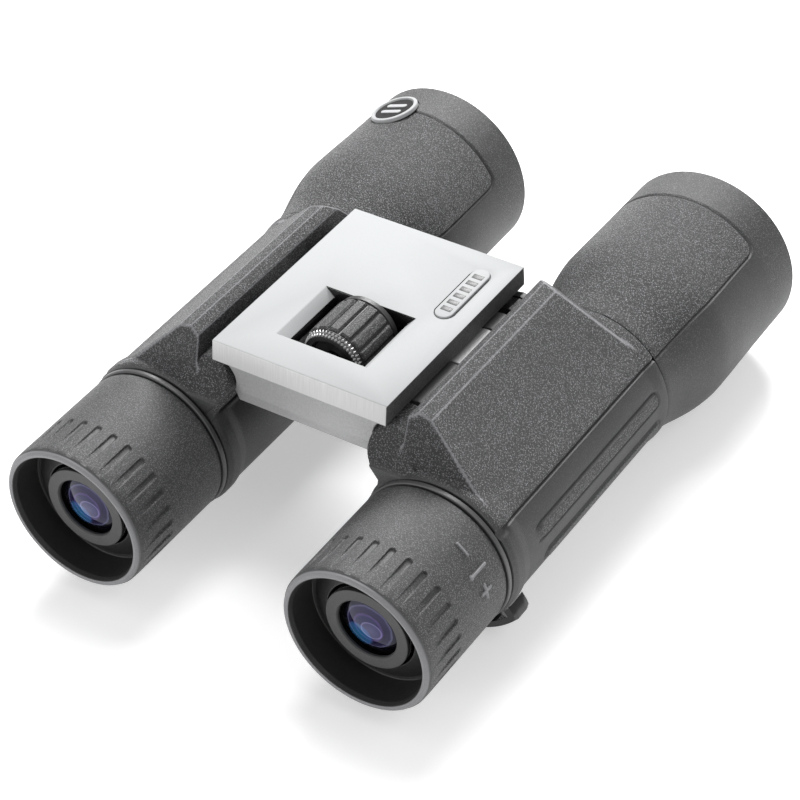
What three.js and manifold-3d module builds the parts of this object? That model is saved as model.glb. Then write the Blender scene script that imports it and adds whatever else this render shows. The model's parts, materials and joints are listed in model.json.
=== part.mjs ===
// Compact folding binoculars, 32 mm objectives, on a two-hinge bridge with centre focus.
//
// Units are millimetres, +Z is up, +Y runs from the eyecups to the objectives and +X is
// the user's right. Shapes are written in a frame whose origin is on the eyecup rim plane,
// midway between the two optical axes, and the outer group then stands them on z = 0.
// A barrel is written once, with its own optical axis as the Y axis and +X pointing away
// from the bridge. The left barrel is the mirror image of the right one.

import * as THREE from 'three';
import { mergeVertices } from 'three/addons/utils/BufferGeometryUtils.js';
import Module from 'manifold-3d';

const wasm = await Module();
wasm.setup();

// ---------------------------------------------------------------- driving dimensions
const LENGTH = 137.2;             // eyecup rim to objective rim
const BARREL_SPACING = 66.1;      // between the optical axes, barrels at rest
const HOOD_RADIUS = 20.4;         // widest radius of an objective hood
const HINGE_SPACING = 42;         // between the two hinge axes
const HINGE_HEIGHT = 17.8;        // hinge axes above the optical axes
const BODY_RADIUS = 16.5;         // round part of the rubber armour
const CUP_RADIUS = 16.3;          // outside of an eyecup
const CLEAR = 0.3;                // gap between pieces that touch

// Bridge: a light cover plate on a cast frame.
const PLATE = { halfWidth: 20.25, rear: 33.1, front: 82.5, top: 27.05, bottom: 22.7, lean: 0.7 };
const FRAME = {
  rear: 33.7, front: 82.2, top: PLATE.bottom - CLEAR, bottom: 13.4, halfTop: 19.3, halfBottom: 15.6,
};
const WINDOW = { half: 8.6, chamfer: 2, rear: 41, front: 58 };
const CAVITY = { half: 9, rear: 40.8, front: 79.8, roof: 25.4 };
const COVER = { half: 12.7, rear: 37.3, front: 78.7, thick: 0.8 };
const COVER_SCREW = { x: 10.9, rear: 40.3, front: 73, head: 1.5, shank: 0.75, tip: 19, room: 0.35 };
const MARK = { x: 14.3, rear: 60.5, front: 77.5, half: 1.9, raised: 0.35, sunk: 0.5 };

// Hinges: knuckles of the barrel and of the bridge share one pin on each side.
const KNUCKLE = 4.4;
const KNUCKLE_WEB = 6;            // thickness of the web that joins a knuckle to its tube
const HINGE_NOTCH = 4.95;
const PIN = { radius: 2, rear: 36, front: 72.8 };
const PIN_BORE = PIN.radius + CLEAR;
const EAR = { rear: 27.8, front: 41.2, radius: 4.5 };
const BARREL_KNUCKLES = [[42, 55.1], [67.7, 73.1]];
const BRIDGE_KNUCKLE = [55.5, 67.3];
const HINGE_GAP = [41.5, 82.5];   // along Y, armour cut away round the hinge

// Centre focus: wheel, screw, nut and the carriage that moves both objective cells.
const WHEEL = {
  radius: 7.3, axis: 22, rear: 43.5, front: 56.9, flange: 1, core: 6.1, flutes: 18, fluteDepth: 0.35,
};
const SCREW = { radius: 1.6, thread: 1.8, rear: 36.4, front: 81, threadRear: 60, threadFront: 75 };
const SCREW_ROOM = 0.35;          // gap round the screw where it runs through the frame
const NUT = { radius: 2.9, rear: 63, front: 70 };
const BAR = { rear: 76.9, front: 79.1, low: 16.4, high: 19.2, room: 0.8, end: 4, spigot: 1.5 };
const FORK = { rear: 75, front: 81, ear: 1.6, radius: 4.2, web: 3.4, strip: 5, tip: 91 };

// Barrel tubes.
const CHASSIS = { outer: 14.6, inner: 13.5, rear: 27.7, front: 87.9 };
const ARMOUR = { rear: 29, front: 88.2, bore: CHASSIS.outer + CLEAR };
const RIDGE = { inner: [-8.74, 25.9], top: [-6.68, 27.3], outer: [-3.86, 26.5], foot: [13.2, 9.9] };
const SHROUD = { rear: 88.6, shoulder: 106.5 };
const GLASS = { radius: 16.3, seat: 16.6 };   // objective lenses and the bore that holds them
const LUG = { low: -72, high: -36, foot: 17.3, inner: 18.7, outer: 20.4, pad: 0.12, rear: 31, front: 36 };
const PRISM = { half: 7.7, face: 7.8, hole: 8.2, cage: 13.1, rear: 42, front: 71.5 };

// Flat sides that stand for a full turn on large, middle-sized and small round pieces.
const OUTER_SIDES = 32;
const INNER_SIDES = 20;
const CELL_SIDES = 24;
const SMALL_SIDES = 16;

const hingeX = HINGE_SPACING / 2;
const barrelX = BARREL_SPACING / 2;
const hingeU = hingeX - barrelX;                       // hinge axis, in a barrel's own frame
const hingeReach = Math.hypot(hingeU, HINGE_HEIGHT);   // optical axis to hinge axis

// ---------------------------------------------------------------- finishes
const finish = (color, roughness, metalness = 0) =>
  new THREE.MeshStandardMaterial({ color, roughness, metalness });
const rubber = finish(0x55565a, 0.62);
const smoothRubber = finish(0x5a5a60, 0.5);
const blackPlastic = finish(0x161618, 0.25);
const darkPlastic = finish(0x303034, 0.45);
const silver = finish(0xe4e5e8, 0.38, 0.6);
const castAlloy = finish(0xa0a2a6, 0.45, 0.9);
const blackAlloy = finish(0x1c1c1f, 0.5, 0.6);
const steel = finish(0xb9bcc0, 0.3, 1);
const brass = finish(0xb08d4a, 0.35, 1);
const glass = finish(0x9fb6d8, 0.03);
const coatedGlass = finish(0x5a4a9a, 0.03);

// ---------------------------------------------------------------- shape tools
function toSolid(geometry) {
  const bare = geometry.index ? geometry.toNonIndexed() : geometry.clone();
  bare.deleteAttribute('normal');
  bare.deleteAttribute('uv');
  const merged = mergeVertices(bare, 1e-4);
  return new wasm.Manifold(new wasm.Mesh({
    numProp: 3,
    vertProperties: new Float32Array(merged.attributes.position.array),
    triVerts: new Uint32Array(merged.index.array),
  }));
}

function toGeometry(solid) {
  const mesh = solid.getMesh();
  const geometry = new THREE.BufferGeometry();
  geometry.setAttribute('position', new THREE.BufferAttribute(mesh.vertProperties, 3));
  geometry.setIndex(new THREE.BufferAttribute(mesh.triVerts, 1));
  geometry.computeVertexNormals();
  return geometry;
}

// Turn a closed outline of [radius, y] points round the Y axis.
function revolve(outline, segments = INNER_SIDES) {
  const points = outline.map(([r, y]) => new THREE.Vector2(r, y));
  if (THREE.ShapeUtils.area(points) < 0) points.reverse();
  points.push(points[0].clone());
  return toSolid(new THREE.LatheGeometry(points, segments));
}

const tube = (outer, inner, y0, y1, segments = INNER_SIDES) =>
  revolve([[inner, y0], [outer, y0], [outer, y1], [inner, y1]], segments);

// A solid rod along Y whose axis passes through (x, z).
function rod(radius, y0, y1, x = 0, z = 0, segments = SMALL_SIDES) {
  const geometry = new THREE.CylinderGeometry(radius, radius, y1 - y0, segments);
  return toSolid(geometry.translate(x, (y0 + y1) / 2, z));
}

// A solid rod along Z whose axis passes through (x, y).
function post(radius, z0, z1, x, y, segments = 12) {
  const geometry = new THREE.CylinderGeometry(radius, radius, z1 - z0, segments);
  return toSolid(geometry.rotateX(Math.PI / 2).translate(x, y, (z0 + z1) / 2));
}

function block(x0, x1, y0, y1, z0, z1) {
  const geometry = new THREE.BoxGeometry(x1 - x0, y1 - y0, z1 - z0);
  return toSolid(geometry.translate((x0 + x1) / 2, (y0 + y1) / 2, (z0 + z1) / 2));
}

const outlineShape = (points) => new THREE.Shape(points.map(([a, b]) => new THREE.Vector2(a, b)));

// Extrude an outline of [x, z] points along Y.
function prism(points, y0, y1) {
  const depth = y1 - y0;
  const geometry = new THREE.ExtrudeGeometry(outlineShape(points), { depth, bevelEnabled: false });
  return toSolid(geometry.rotateX(Math.PI / 2).translate(0, y1, 0));
}

// Extrude an outline of [y, z] points along X, evenly about x = 0.
function crosswise(points, halfWidth) {
  const depth = 2 * halfWidth;
  const geometry = new THREE.ExtrudeGeometry(outlineShape(points), { depth, bevelEnabled: false });
  geometry.rotateY(Math.PI / 2).rotateX(Math.PI / 2);
  return toSolid(geometry.translate(-halfWidth, 0, 0));
}

// A large block whose one face lies on the plane through three points, on the side of `outside`.
function halfSpace(a, b, c, outside) {
  const size = 80;
  const plane = new THREE.Plane().setFromCoplanarPoints(
    new THREE.Vector3(...a), new THREE.Vector3(...b), new THREE.Vector3(...c));
  if (plane.distanceToPoint(new THREE.Vector3(...outside)) < 0) plane.negate();
  const turn = new THREE.Quaternion().setFromUnitVectors(new THREE.Vector3(0, 0, 1), plane.normal);
  const centre = new THREE.Vector3(...a).addScaledVector(plane.normal, size / 2);
  const geometry = new THREE.BoxGeometry(size, size, size).applyQuaternion(turn);
  return toSolid(geometry.translate(centre.x, centre.y, centre.z));
}

const union = (first, ...others) => others.reduce((sum, next) => sum.add(next), first);
const cut = (first, ...others) => others.reduce((rest, next) => rest.subtract(next), first);

function mirrored(geometry) {
  const copy = geometry.clone().scale(-1, 1, 1);
  const index = copy.index.array;
  for (let i = 0; i < index.length; i += 3) [index[i], index[i + 1]] = [index[i + 1], index[i]];
  copy.computeVertexNormals();
  return copy;
}

function addPiece(group, name, solid, material, side = 1) {
  const geometry = toGeometry(solid);
  const mesh = new THREE.Mesh(side < 0 ? mirrored(geometry) : geometry, material);
  mesh.name = name;
  group.add(mesh);
}

// A box in a barrel's frame that lies on the line from the hinge axis to the optical axis,
// between two distances from the hinge.
function hingeWeb(width, y0, y1, near, far) {
  const geometry = new THREE.BoxGeometry(far - near, y1 - y0, width);
  geometry.translate((near + far) / 2, (y0 + y1) / 2, 0);
  geometry.rotateY(Math.atan2(HINGE_HEIGHT, -hingeU));
  return toSolid(geometry.translate(hingeU, 0, HINGE_HEIGHT));
}

const hingeRod = (radius, y0, y1) => rod(radius, y0, y1, hingeU, HINGE_HEIGHT);

// ---------------------------------------------------------------- bridge
function topPlate() {
  const { halfWidth, rear, front, top, bottom, lean } = PLATE;
  const slab = crosswise([[rear, top], [rear - lean, bottom], [front, bottom], [front, top]], halfWidth);
  const opening = block(-WINDOW.half, WINDOW.half, WINDOW.rear, WINDOW.front, bottom - 1, top + 1);
  const deep = top - WINDOW.chamfer;
  const wide = WINDOW.half + WINDOW.chamfer;
  const chamfers = prism([[-WINDOW.half, deep], [WINDOW.half, deep], [wide, top + 0.01], [-wide, top + 0.01]],
    WINDOW.rear, WINDOW.front);
  const nutRoom = block(-CAVITY.half, CAVITY.half, WINDOW.front + 1.2, CAVITY.front, bottom - 1, CAVITY.roof);
  const slotHalf = SCREW.thread + 0.6;
  const slotTop = WHEEL.axis + 2.2;
  const rearSlot = block(-slotHalf, slotHalf, SCREW.rear - 0.9, WINDOW.front + 1.4, bottom - 1, slotTop);
  const frontSlot = block(-slotHalf, slotHalf, CAVITY.front - 1, SCREW.front + 0.4, bottom - 1, slotTop);
  const markSeat = markOutline(MARK.half + CLEAR, 1, top - MARK.sunk);
  return cut(slab, opening, chamfers, nutRoom, rearSlot, frontSlot, markSeat);
}

// The rounded bar that stands on the plate as its only mark.
function markOutline(half, height, z0) {
  const shape = new THREE.Shape();
  const from = MARK.rear + half;
  const to = MARK.front - half;
  shape.absarc(MARK.x, from, half, Math.PI, 2 * Math.PI);
  shape.absarc(MARK.x, to, half, 0, Math.PI);
  const geometry = new THREE.ExtrudeGeometry(shape, { depth: height, bevelEnabled: false, curveSegments: 6 });
  return toSolid(geometry.translate(0, 0, z0));
}

function bridgeFrame() {
  const { rear, front, top, bottom, halfTop, halfBottom } = FRAME;
  const outline = [[-halfTop, top], [-halfBottom, bottom], [halfBottom, bottom], [halfTop, top]];
  const notch = (s) => rod(HINGE_NOTCH, rear - 1, front + 1, s * hingeX, HINGE_HEIGHT, INNER_SIDES);
  const body = cut(prism(outline, rear, front), notch(-1), notch(1));
  const knuckles = [-1, 1].map((s) => rod(KNUCKLE, ...BRIDGE_KNUCKLE, s * hingeX, HINGE_HEIGHT));
  const web = { near: 14, half: 2.6 };
  const webs = [-1, 1].map((s) => block(Math.min(s * web.near, s * hingeX), Math.max(s * web.near, s * hingeX),
    ...BRIDGE_KNUCKLE, HINGE_HEIGHT - web.half, HINGE_HEIGHT + web.half));
  const bores = [-1, 1].map((s) => rod(PIN_BORE, PIN.rear, PIN.front, s * hingeX, HINGE_HEIGHT));
  const cavity = block(-CAVITY.half, CAVITY.half, CAVITY.rear, CAVITY.front, bottom - 1, top + 1);
  const coverSeat = block(-COVER.half - CLEAR, COVER.half + CLEAR, COVER.rear - CLEAR, COVER.front + CLEAR,
    bottom - 1, bottom + COVER.thick + CLEAR);
  const barSlot = block(-hingeX, hingeX, FORK.rear, FORK.front, BAR.low - BAR.room, BAR.high + BAR.room);
  const saddleHalf = SCREW.radius + SCREW_ROOM;
  const saddle = block(-saddleHalf, saddleHalf, SCREW.rear - 0.4, SCREW.front + 0.4,
    WHEEL.axis - saddleHalf, top + 1);
  const { shank, tip, room } = COVER_SCREW;
  const screwHoles = coverScrewPlaces().map(([x, y]) => post(shank + room, bottom, tip + room, x, y));
  return cut(union(body, ...webs, ...knuckles), ...bores, cavity, coverSeat, barSlot, saddle, ...screwHoles);
}

function coverScrewPlaces() {
  const { x, rear, front } = COVER_SCREW;
  return [[-x, rear], [x, rear], [-x, front], [x, front]];
}

function bottomCover() {
  const { bottom } = FRAME;
  const plate = block(-COVER.half, COVER.half, COVER.rear, COVER.front, bottom, bottom + COVER.thick);
  const hole = COVER_SCREW.head + CLEAR;
  return cut(plate, ...coverScrewPlaces().map(([x, y]) => post(hole, bottom - 1, bottom + 2, x, y)));
}

function coverScrew(x, y) {
  const { bottom } = FRAME;
  const { head, shank, tip } = COVER_SCREW;
  return union(post(head, bottom, bottom + COVER.thick, x, y), post(shank, bottom + 0.5, tip, x, y, 8));
}

function addBridge(root) {
  addPiece(root, 'top_plate', topPlate(), silver);
  const markDepth = MARK.sunk - CLEAR;
  addPiece(root, 'plate_mark', markOutline(MARK.half, MARK.raised + markDepth, PLATE.top - markDepth), silver);
  addPiece(root, 'bridge_frame', bridgeFrame(), castAlloy);
  addPiece(root, 'bottom_cover', bottomCover(), darkPlastic);
  coverScrewPlaces().forEach(([x, y], i) => addPiece(root, `cover_screw_${i + 1}`, coverScrew(x, y), steel));
  for (const [side, name] of [[-1, 'left'], [1, 'right']]) {
    const pin = rod(PIN.radius, PIN.rear, PIN.front, side * hingeX, HINGE_HEIGHT);
    addPiece(root, `${name}_hinge_pin`, pin, steel);
  }
}

// ---------------------------------------------------------------- centre focus
function wheelGrip() {
  const steps = WHEEL.flutes * 4;
  const points = [];
  for (let i = 0; i < steps; i += 1) {
    const angle = (i / steps) * 2 * Math.PI;
    const radius = i % 4 < 2 ? WHEEL.radius : WHEEL.radius - WHEEL.fluteDepth;
    points.push([radius * Math.cos(angle), WHEEL.axis + radius * Math.sin(angle)]);
  }
  const bore = rod(WHEEL.core + CLEAR, WHEEL.rear - 1, WHEEL.front, 0, WHEEL.axis, INNER_SIDES);
  return cut(prism(points, WHEEL.rear, WHEEL.front - WHEEL.flange - CLEAR), bore);
}

function wheelCore() {
  const { core, rear, front, flange } = WHEEL;
  const bore = SCREW.radius + CLEAR;
  const rim = WHEEL.radius - CLEAR;
  return revolve([
    [bore, rear], [core, rear], [core, front - flange], [rim, front - flange], [rim, front], [bore, front],
  ]);
}

function focusScrew() {
  const { radius, thread, rear, front, threadRear, threadFront } = SCREW;
  return revolve([
    [0, rear], [radius, rear], [radius, threadRear], [thread, threadRear], [thread, threadFront],
    [radius, threadFront], [radius, front], [0, front],
  ], SMALL_SIDES);
}

function focusCarriage() {
  const nutSeat = rod(NUT.radius + CLEAR, NUT.rear - 3, NUT.front + 2, 0, WHEEL.axis);
  const nutBlock = block(-5.5, 5.5, NUT.rear, NUT.front, 15.2, WHEEL.axis);
  const spine = block(-3, 3, NUT.front - 1, BAR.front, BAR.low, BAR.high);
  const bar = block(-hingeX, hingeX, BAR.rear, BAR.front, BAR.low, BAR.high);
  const ends = [-1, 1].flatMap((s) => [
    rod(BAR.end, BAR.rear, BAR.front, s * hingeX, HINGE_HEIGHT),
    rod(BAR.spigot, FORK.rear, FORK.front, s * hingeX, HINGE_HEIGHT),
  ]);
  return cut(union(nutBlock, spine, bar, ...ends), nutSeat);
}

function addFocus(root) {
  const axle = new THREE.Group();
  axle.position.z = WHEEL.axis;
  root.add(axle);
  addPiece(axle, 'focus_screw', focusScrew(), steel);
  addPiece(axle, 'focus_wheel_core', wheelCore(), darkPlastic);
  addPiece(axle, 'focus_nut', tube(NUT.radius, SCREW.thread + CLEAR, NUT.rear, NUT.front, SMALL_SIDES), brass);
  addPiece(root, 'focus_wheel_grip', wheelGrip(), rubber);
  addPiece(root, 'focus_carriage', focusCarriage(), blackAlloy);
}

// ---------------------------------------------------------------- barrel body
function chassis() {
  const { outer, inner, rear, front } = CHASSIS;
  const shell = rod(outer, rear, front, 0, 0, INNER_SIDES);
  const webs = BARREL_KNUCKLES.map(([y0, y1]) => hingeWeb(KNUCKLE_WEB, y0, y1, 0, hingeReach - inner));
  const knuckles = BARREL_KNUCKLES.map(([y0, y1]) => hingeRod(KNUCKLE, y0, y1));
  const bore = rod(inner, rear - 1, front + 1, 0, 0, INNER_SIDES);
  const leverSlot = hingeWeb(FORK.web + 0.8, FORK.rear - 1.8, FORK.front + 1.8, PIN.radius, hingeReach);
  return cut(union(shell, ...webs, ...knuckles), bore, hingeRod(PIN_BORE, rear, FORK.rear), leverSlot);
}

function ridge() {
  const [ax, az] = RIDGE.inner;
  const outline = [RIDGE.inner, RIDGE.top, RIDGE.outer, RIDGE.foot, [8, 2], [-14, 8],
    [hingeU - 1, HINGE_HEIGHT - 4.4], [-9, 20.5]];
  const nearSlope = halfSpace(at(RIDGE.outer, 34.6), [8.1, 31.55, 14.85], [-6, 31, 16.4], [ax, 20, az]);
  const farSlope = halfSpace(at(RIDGE.outer, 79.7), [6.6, 84.5, 16.3], [-8.9, 85.1, 22.7], [ax, 100, az]);
  return cut(prism(outline, 31, 86.5), nearSlope, farSlope);
}

const at = ([x, z], y) => [x, y, z];

function armour() {
  const round = revolve([
    [0, ARMOUR.rear], [16.4, ARMOUR.rear], [17, ARMOUR.rear + 1.6], [17, 33], [BODY_RADIUS, 35.5],
    [BODY_RADIUS, 84.5], [16.9, 87], [16.9, ARMOUR.front], [0, ARMOUR.front],
  ], OUTER_SIDES);
  const ear = union(hingeRod(EAR.radius, EAR.rear, EAR.front), hingeWeb(8.6, ARMOUR.rear, EAR.front, 0.5, 6));
  const webRoom = hingeWeb(KNUCKLE_WEB + 1, ...HINGE_GAP, 0, hingeReach);
  const hingeRoom = union(hingeRod(HINGE_NOTCH, ...HINGE_GAP), webRoom);
  const bore = rod(ARMOUR.bore, CHASSIS.rear, CHASSIS.front + 1, 0, 0, INNER_SIDES);
  const pinBore = hingeRod(PIN_BORE, PIN.rear - CLEAR, EAR.front + 1);
  return cut(union(round, ridge(), ear), hingeRoom, bore, pinBore);
}

// A belt loop of round section that bows out from the underside of the barrel.
function strapLug() {
  const { foot, inner, outer, pad, rear, front } = LUG;
  const low = THREE.MathUtils.degToRad(LUG.low);
  const high = THREE.MathUtils.degToRad(LUG.high);
  const shape = new THREE.Shape();
  shape.absarc(0, 0, outer, low, high);
  shape.absarc(0, 0, foot, high, high - pad, true);
  shape.absarc(0, 0, inner, high - pad, low + pad, true);
  shape.absarc(0, 0, foot, low + pad, low, true);
  const depth = front - rear;
  const geometry = new THREE.ExtrudeGeometry(shape, { depth, bevelEnabled: false, curveSegments: 8 });
  return toSolid(geometry.rotateX(Math.PI / 2).translate(0, front, 0));
}

// ---------------------------------------------------------------- prisms
function prismCage() {
  const { cage, hole, rear, front } = PRISM;
  const window = block(-hole, hole, rear - 1, front + 1, -hole, hole);
  return cut(rod(cage, rear, front, 0, 0, INNER_SIDES), window);
}

// Both prisms are drawn by their side outline, as [y, z], and fill the cage's square hole.
function roofPrism() {
  const { face, half } = PRISM;
  return crosswise([[57, face], [57, -face], [63, -face], [71, 0], [71, 4], [67, face]], half);
}

function halfPrism() {
  const { face, half } = PRISM;
  return crosswise([[43, face], [43, -face], [47.5, -face], [56.4, 1], [56.4, face]], half);
}

// ---------------------------------------------------------------- eyepiece
function eyecup() {
  return revolve([
    [13.5, 27.3], [CUP_RADIUS, 27.3], [CUP_RADIUS, 2], [15.9, 0.4], [15.4, 0], [14.7, 0.3], [14.4, 1.2],
    [14.4, 7.6], [14, 7.7], [9.6, 5.5], [9.6, 10.2], [13.5, 10.2],
  ], OUTER_SIDES);
}

function eyepieceHousing() {
  return revolve([
    [7.5, 5.3], [9.1, 5.3], [9.1, 11.6], [13.1, 11.6], [13.1, 38], [11.2, 38], [11.2, 29], [9.8, 27],
    [9.8, 14], [7.5, 11],
  ]);
}

// A round lens: flat rim band, with bulges of the given heights at each end.
function lens(radius, y0, y1, rearBulge, frontBulge) {
  const steps = 2;
  const bulge = (height, y) => Array.from({ length: steps }, (_, i) => {
    const r = radius * (i / steps);
    return [r, y + height * (1 - (r / radius) ** 2)];
  });
  const outline = [...bulge(-rearBulge, y0), [radius, y0], [radius, y1], ...bulge(frontBulge, y1).reverse()];
  return revolve(outline, SMALL_SIDES);
}

function addEyepiece(group, name, side) {
  addPiece(group, `${name}_eyecup`, eyecup(), rubber, side);
  addPiece(group, `${name}_eyepiece_housing`, eyepieceHousing(), blackPlastic, side);
  addPiece(group, `${name}_eye_lens_ring`, tube(9.1, 6.5, 4.2, 5), darkPlastic, side);
  addPiece(group, `${name}_eye_lens`, lens(7.1, 6.2, 9.4, 0.9, 1), coatedGlass, side);
  addPiece(group, `${name}_field_lens`, lens(9.4, 18, 22, 0.8, 1.4), glass, side);
}

// ---------------------------------------------------------------- objective
function shroud() {
  const { rear, shoulder } = SHROUD;
  return revolve([
    [15.3, rear], [16.6, rear], [16.7, 91], [17.3, 94], [18.6, 98], [19.7, 102], [HOOD_RADIUS, shoulder],
    [20.2, 120], [20.1, 136.4], [19.7, LENGTH], [19, LENGTH], [18.6, 136.4], [18.1, 128.5], [18.9, 128.5],
    [18.9, 107.5], [15.3, 95],
  ], OUTER_SIDES);
}

function objectiveTube() {
  return revolve([
    [13.7, 88.2], [15, 88.2], [15, 95.2], [18.6, 107.7], [18.6, 128.2], [17.8, 128.2], [17.8, 108.2],
    [13.7, 95.6],
  ], CELL_SIDES);
}

function objectiveCell() {
  const front = 124.4;
  const shelf = 112.4;
  return revolve([
    [12.5, 84], [13.1, 84], [13.1, 96.4], [17.4, 110.5], [17.4, front], [GLASS.seat, front],
    [GLASS.seat, shelf], [15.2, shelf], [15.2, 108.6], [12.5, 97],
  ], CELL_SIDES);
}

function focusLever() {
  const { rear, front, ear, radius, web, strip, tip } = FORK;
  const reach = [9.6, 10.6];       // inner and outer side of the strip, from the hinge axis
  const stations = [[rear, rear + ear], [front - ear, front]];
  const arm = reach[1] - 0.2;
  const ears = stations.flatMap(([y0, y1]) => [hingeRod(radius, y0, y1), hingeWeb(web, y0, y1, 0, arm)]);
  const long = hingeWeb(strip, rear, tip, ...reach);
  return cut(union(long, ...ears), hingeRod(BAR.spigot + CLEAR, rear - 1, front + 1));
}

function addObjective(group, name, side) {
  addPiece(group, `${name}_objective_cell`, objectiveCell(), blackAlloy, side);
  addPiece(group, `${name}_objective_crown`, lens(GLASS.radius, 117.4, 120.2, 1.2, 1.3), coatedGlass, side);
  addPiece(group, `${name}_objective_flint`, lens(GLASS.radius, 113, 115.8, -1, 0), glass, side);
  addPiece(group, `${name}_objective_ring`, tube(GLASS.radius, 14.9, 121.8, 124), darkPlastic, side);
  addPiece(group, `${name}_focus_lever`, focusLever(), blackAlloy, side);
}

// A round badge let into the top of a hood, turned outward from the top.
const BADGE = { radius: 5.4, y: 126.1, lean: THREE.MathUtils.degToRad(19), seat: 19.6, face: 20.9 };

function badgeDisc(radius, from, to) {
  const geometry = new THREE.CylinderGeometry(radius, radius, to - from, INNER_SIDES);
  geometry.rotateX(Math.PI / 2).translate(0, BADGE.y, (from + to) / 2).rotateY(BADGE.lean);
  return toSolid(geometry);
}

// ---------------------------------------------------------------- one barrel
function addBarrel(root, name, side) {
  const group = new THREE.Group();
  group.position.x = side * barrelX;
  root.add(group);
  addPiece(group, `${name}_chassis`, chassis(), darkPlastic, side);
  addPiece(group, `${name}_armour`, armour(), rubber, side);
  addPiece(group, `${name}_eyepiece_collar`, tube(16.5, ARMOUR.bore, 27.6, 28.7, OUTER_SIDES), smoothRubber, side);
  addPiece(group, `${name}_prism_cage`, prismCage(), blackPlastic, side);
  addPiece(group, `${name}_roof_prism`, roofPrism(), glass, side);
  addPiece(group, `${name}_half_prism`, halfPrism(), glass, side);
  addPiece(group, `${name}_objective_tube`, objectiveTube(), blackAlloy, side);
  const hood = side < 0 ? cut(shroud(), badgeDisc(BADGE.radius + CLEAR, BADGE.seat, 24)) : shroud();
  addPiece(group, `${name}_objective_hood`, hood, rubber, side);
  addEyepiece(group, name, side);
  addObjective(group, name, side);
  if (side < 0) {
    addPiece(group, 'left_badge', badgeDisc(BADGE.radius, BADGE.seat + CLEAR, BADGE.face), silver, side);
  } else {
    addPiece(group, 'strap_lug', strapLug(), blackPlastic, side);
  }
}

const binoculars = new THREE.Group();
binoculars.position.set(0, -LENGTH / 2, HOOD_RADIUS);
addBridge(binoculars);
addFocus(binoculars);
addBarrel(binoculars, 'left', -1);
addBarrel(binoculars, 'right', 1);

export default binoculars;
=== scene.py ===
"""Looks for a pair of compact folding binoculars with rubber armour and a silver bridge plate.

Shapes are made in millimetres at the bench: Y runs from the eyecups to the objectives and z is up.
Bench 0 is the middle of the bridge. Benches 1 and -1 are the right and left barrels, each with its
optical axis as the Y axis and +u pointing outward. Angles round a barrel start at +u and rise
towards z. settle() moves a finished piece to its place on the frame.
"""

import json
import math

import bmesh
import bpy
import numpy as np
from mathutils import Matrix, Vector


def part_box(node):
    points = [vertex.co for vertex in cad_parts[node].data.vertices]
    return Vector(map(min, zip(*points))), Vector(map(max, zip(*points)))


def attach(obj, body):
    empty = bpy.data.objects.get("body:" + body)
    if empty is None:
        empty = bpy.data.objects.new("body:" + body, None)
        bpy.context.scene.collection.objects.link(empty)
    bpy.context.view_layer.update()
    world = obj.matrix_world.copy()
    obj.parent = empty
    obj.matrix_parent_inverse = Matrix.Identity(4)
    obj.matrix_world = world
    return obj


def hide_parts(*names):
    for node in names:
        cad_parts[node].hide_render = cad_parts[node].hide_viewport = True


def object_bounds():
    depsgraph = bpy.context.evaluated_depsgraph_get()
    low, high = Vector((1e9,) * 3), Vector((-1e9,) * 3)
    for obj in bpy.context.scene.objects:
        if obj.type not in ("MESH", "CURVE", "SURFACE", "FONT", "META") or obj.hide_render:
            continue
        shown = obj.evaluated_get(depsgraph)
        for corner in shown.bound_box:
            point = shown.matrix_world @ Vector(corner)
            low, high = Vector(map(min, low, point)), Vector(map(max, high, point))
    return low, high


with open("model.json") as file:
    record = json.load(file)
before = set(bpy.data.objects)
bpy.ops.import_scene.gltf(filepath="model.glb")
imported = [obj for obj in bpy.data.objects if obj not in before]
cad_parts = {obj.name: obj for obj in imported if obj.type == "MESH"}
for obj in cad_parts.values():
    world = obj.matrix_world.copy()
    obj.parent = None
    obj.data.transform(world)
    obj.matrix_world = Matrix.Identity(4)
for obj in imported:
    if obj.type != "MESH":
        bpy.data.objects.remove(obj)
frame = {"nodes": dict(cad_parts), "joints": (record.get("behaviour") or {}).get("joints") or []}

# ---- places, from the frame
MM = 0.001
CAD_LOW, CAD_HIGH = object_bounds()
JOINTS = {joint["name"]: joint for joint in frame["joints"]}
OPTIC = JOINTS["diopter_turn"]["pos_m"]      # a point on the right optical axis
HINGE = JOINTS["right_hinge"]["pos_m"]
WHEEL_W = (JOINTS["focus_turn"]["pos_m"][2] - OPTIC[2]) / MM
HINGE_X = HINGE[0] / MM
HINGE_U = (HINGE[0] - OPTIC[0]) / MM
HINGE_W = (HINGE[2] - OPTIC[2]) / MM
HINGE_REACH = math.hypot(HINGE_U, HINGE_W)
HINGE_ANGLE = math.atan2(HINGE_W, HINGE_U)
LENGTH = (CAD_HIGH[1] - CAD_LOW[1]) / MM
SIDES = ((-1, "left"), (1, "right"))

# ---- sizes in millimetres
GAP = 0.3
KNUCKLE = 4.4
NOTCH = 4.95
PIN = {"radius": 2.0, "bore": 2.3, "rear": 36.0, "front": 72.8}
BARREL_KNUCKLES = ((42.0, 55.1), (67.7, 73.1))
BRIDGE_KNUCKLE = (55.5, 67.3)
HINGE_GAP = (41.5, 82.5)
PLATE = {"half": 20.25, "rear": 33.1, "top": 27.05, "bottom": 22.7}
MARK = {"x": 14.3, "rear": 60.5, "front": 77.5, "half": 1.9, "top": 27.4}
FRAME = {"rear": 33.7, "front": 82.2, "top": 22.4, "bottom": 13.4, "half_top": 19.3, "half_bottom": 15.6}
WHEEL = {"rear": 43.5, "front": 56.9, "rim": 7.25, "lands": 16, "teeth": 52}
CHASSIS = {"outer": 14.6, "inner": 13.5, "rear": 27.7, "front": 87.9}
ARMOUR = {"rear": 29.0, "front": 88.2, "bore": 14.9}
EAR = {"radius": 4.5, "web": 4.35, "rear": 27.8, "front": 41.2}
HOOD = {"rear": 88.6, "inner": 15.3}
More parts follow.
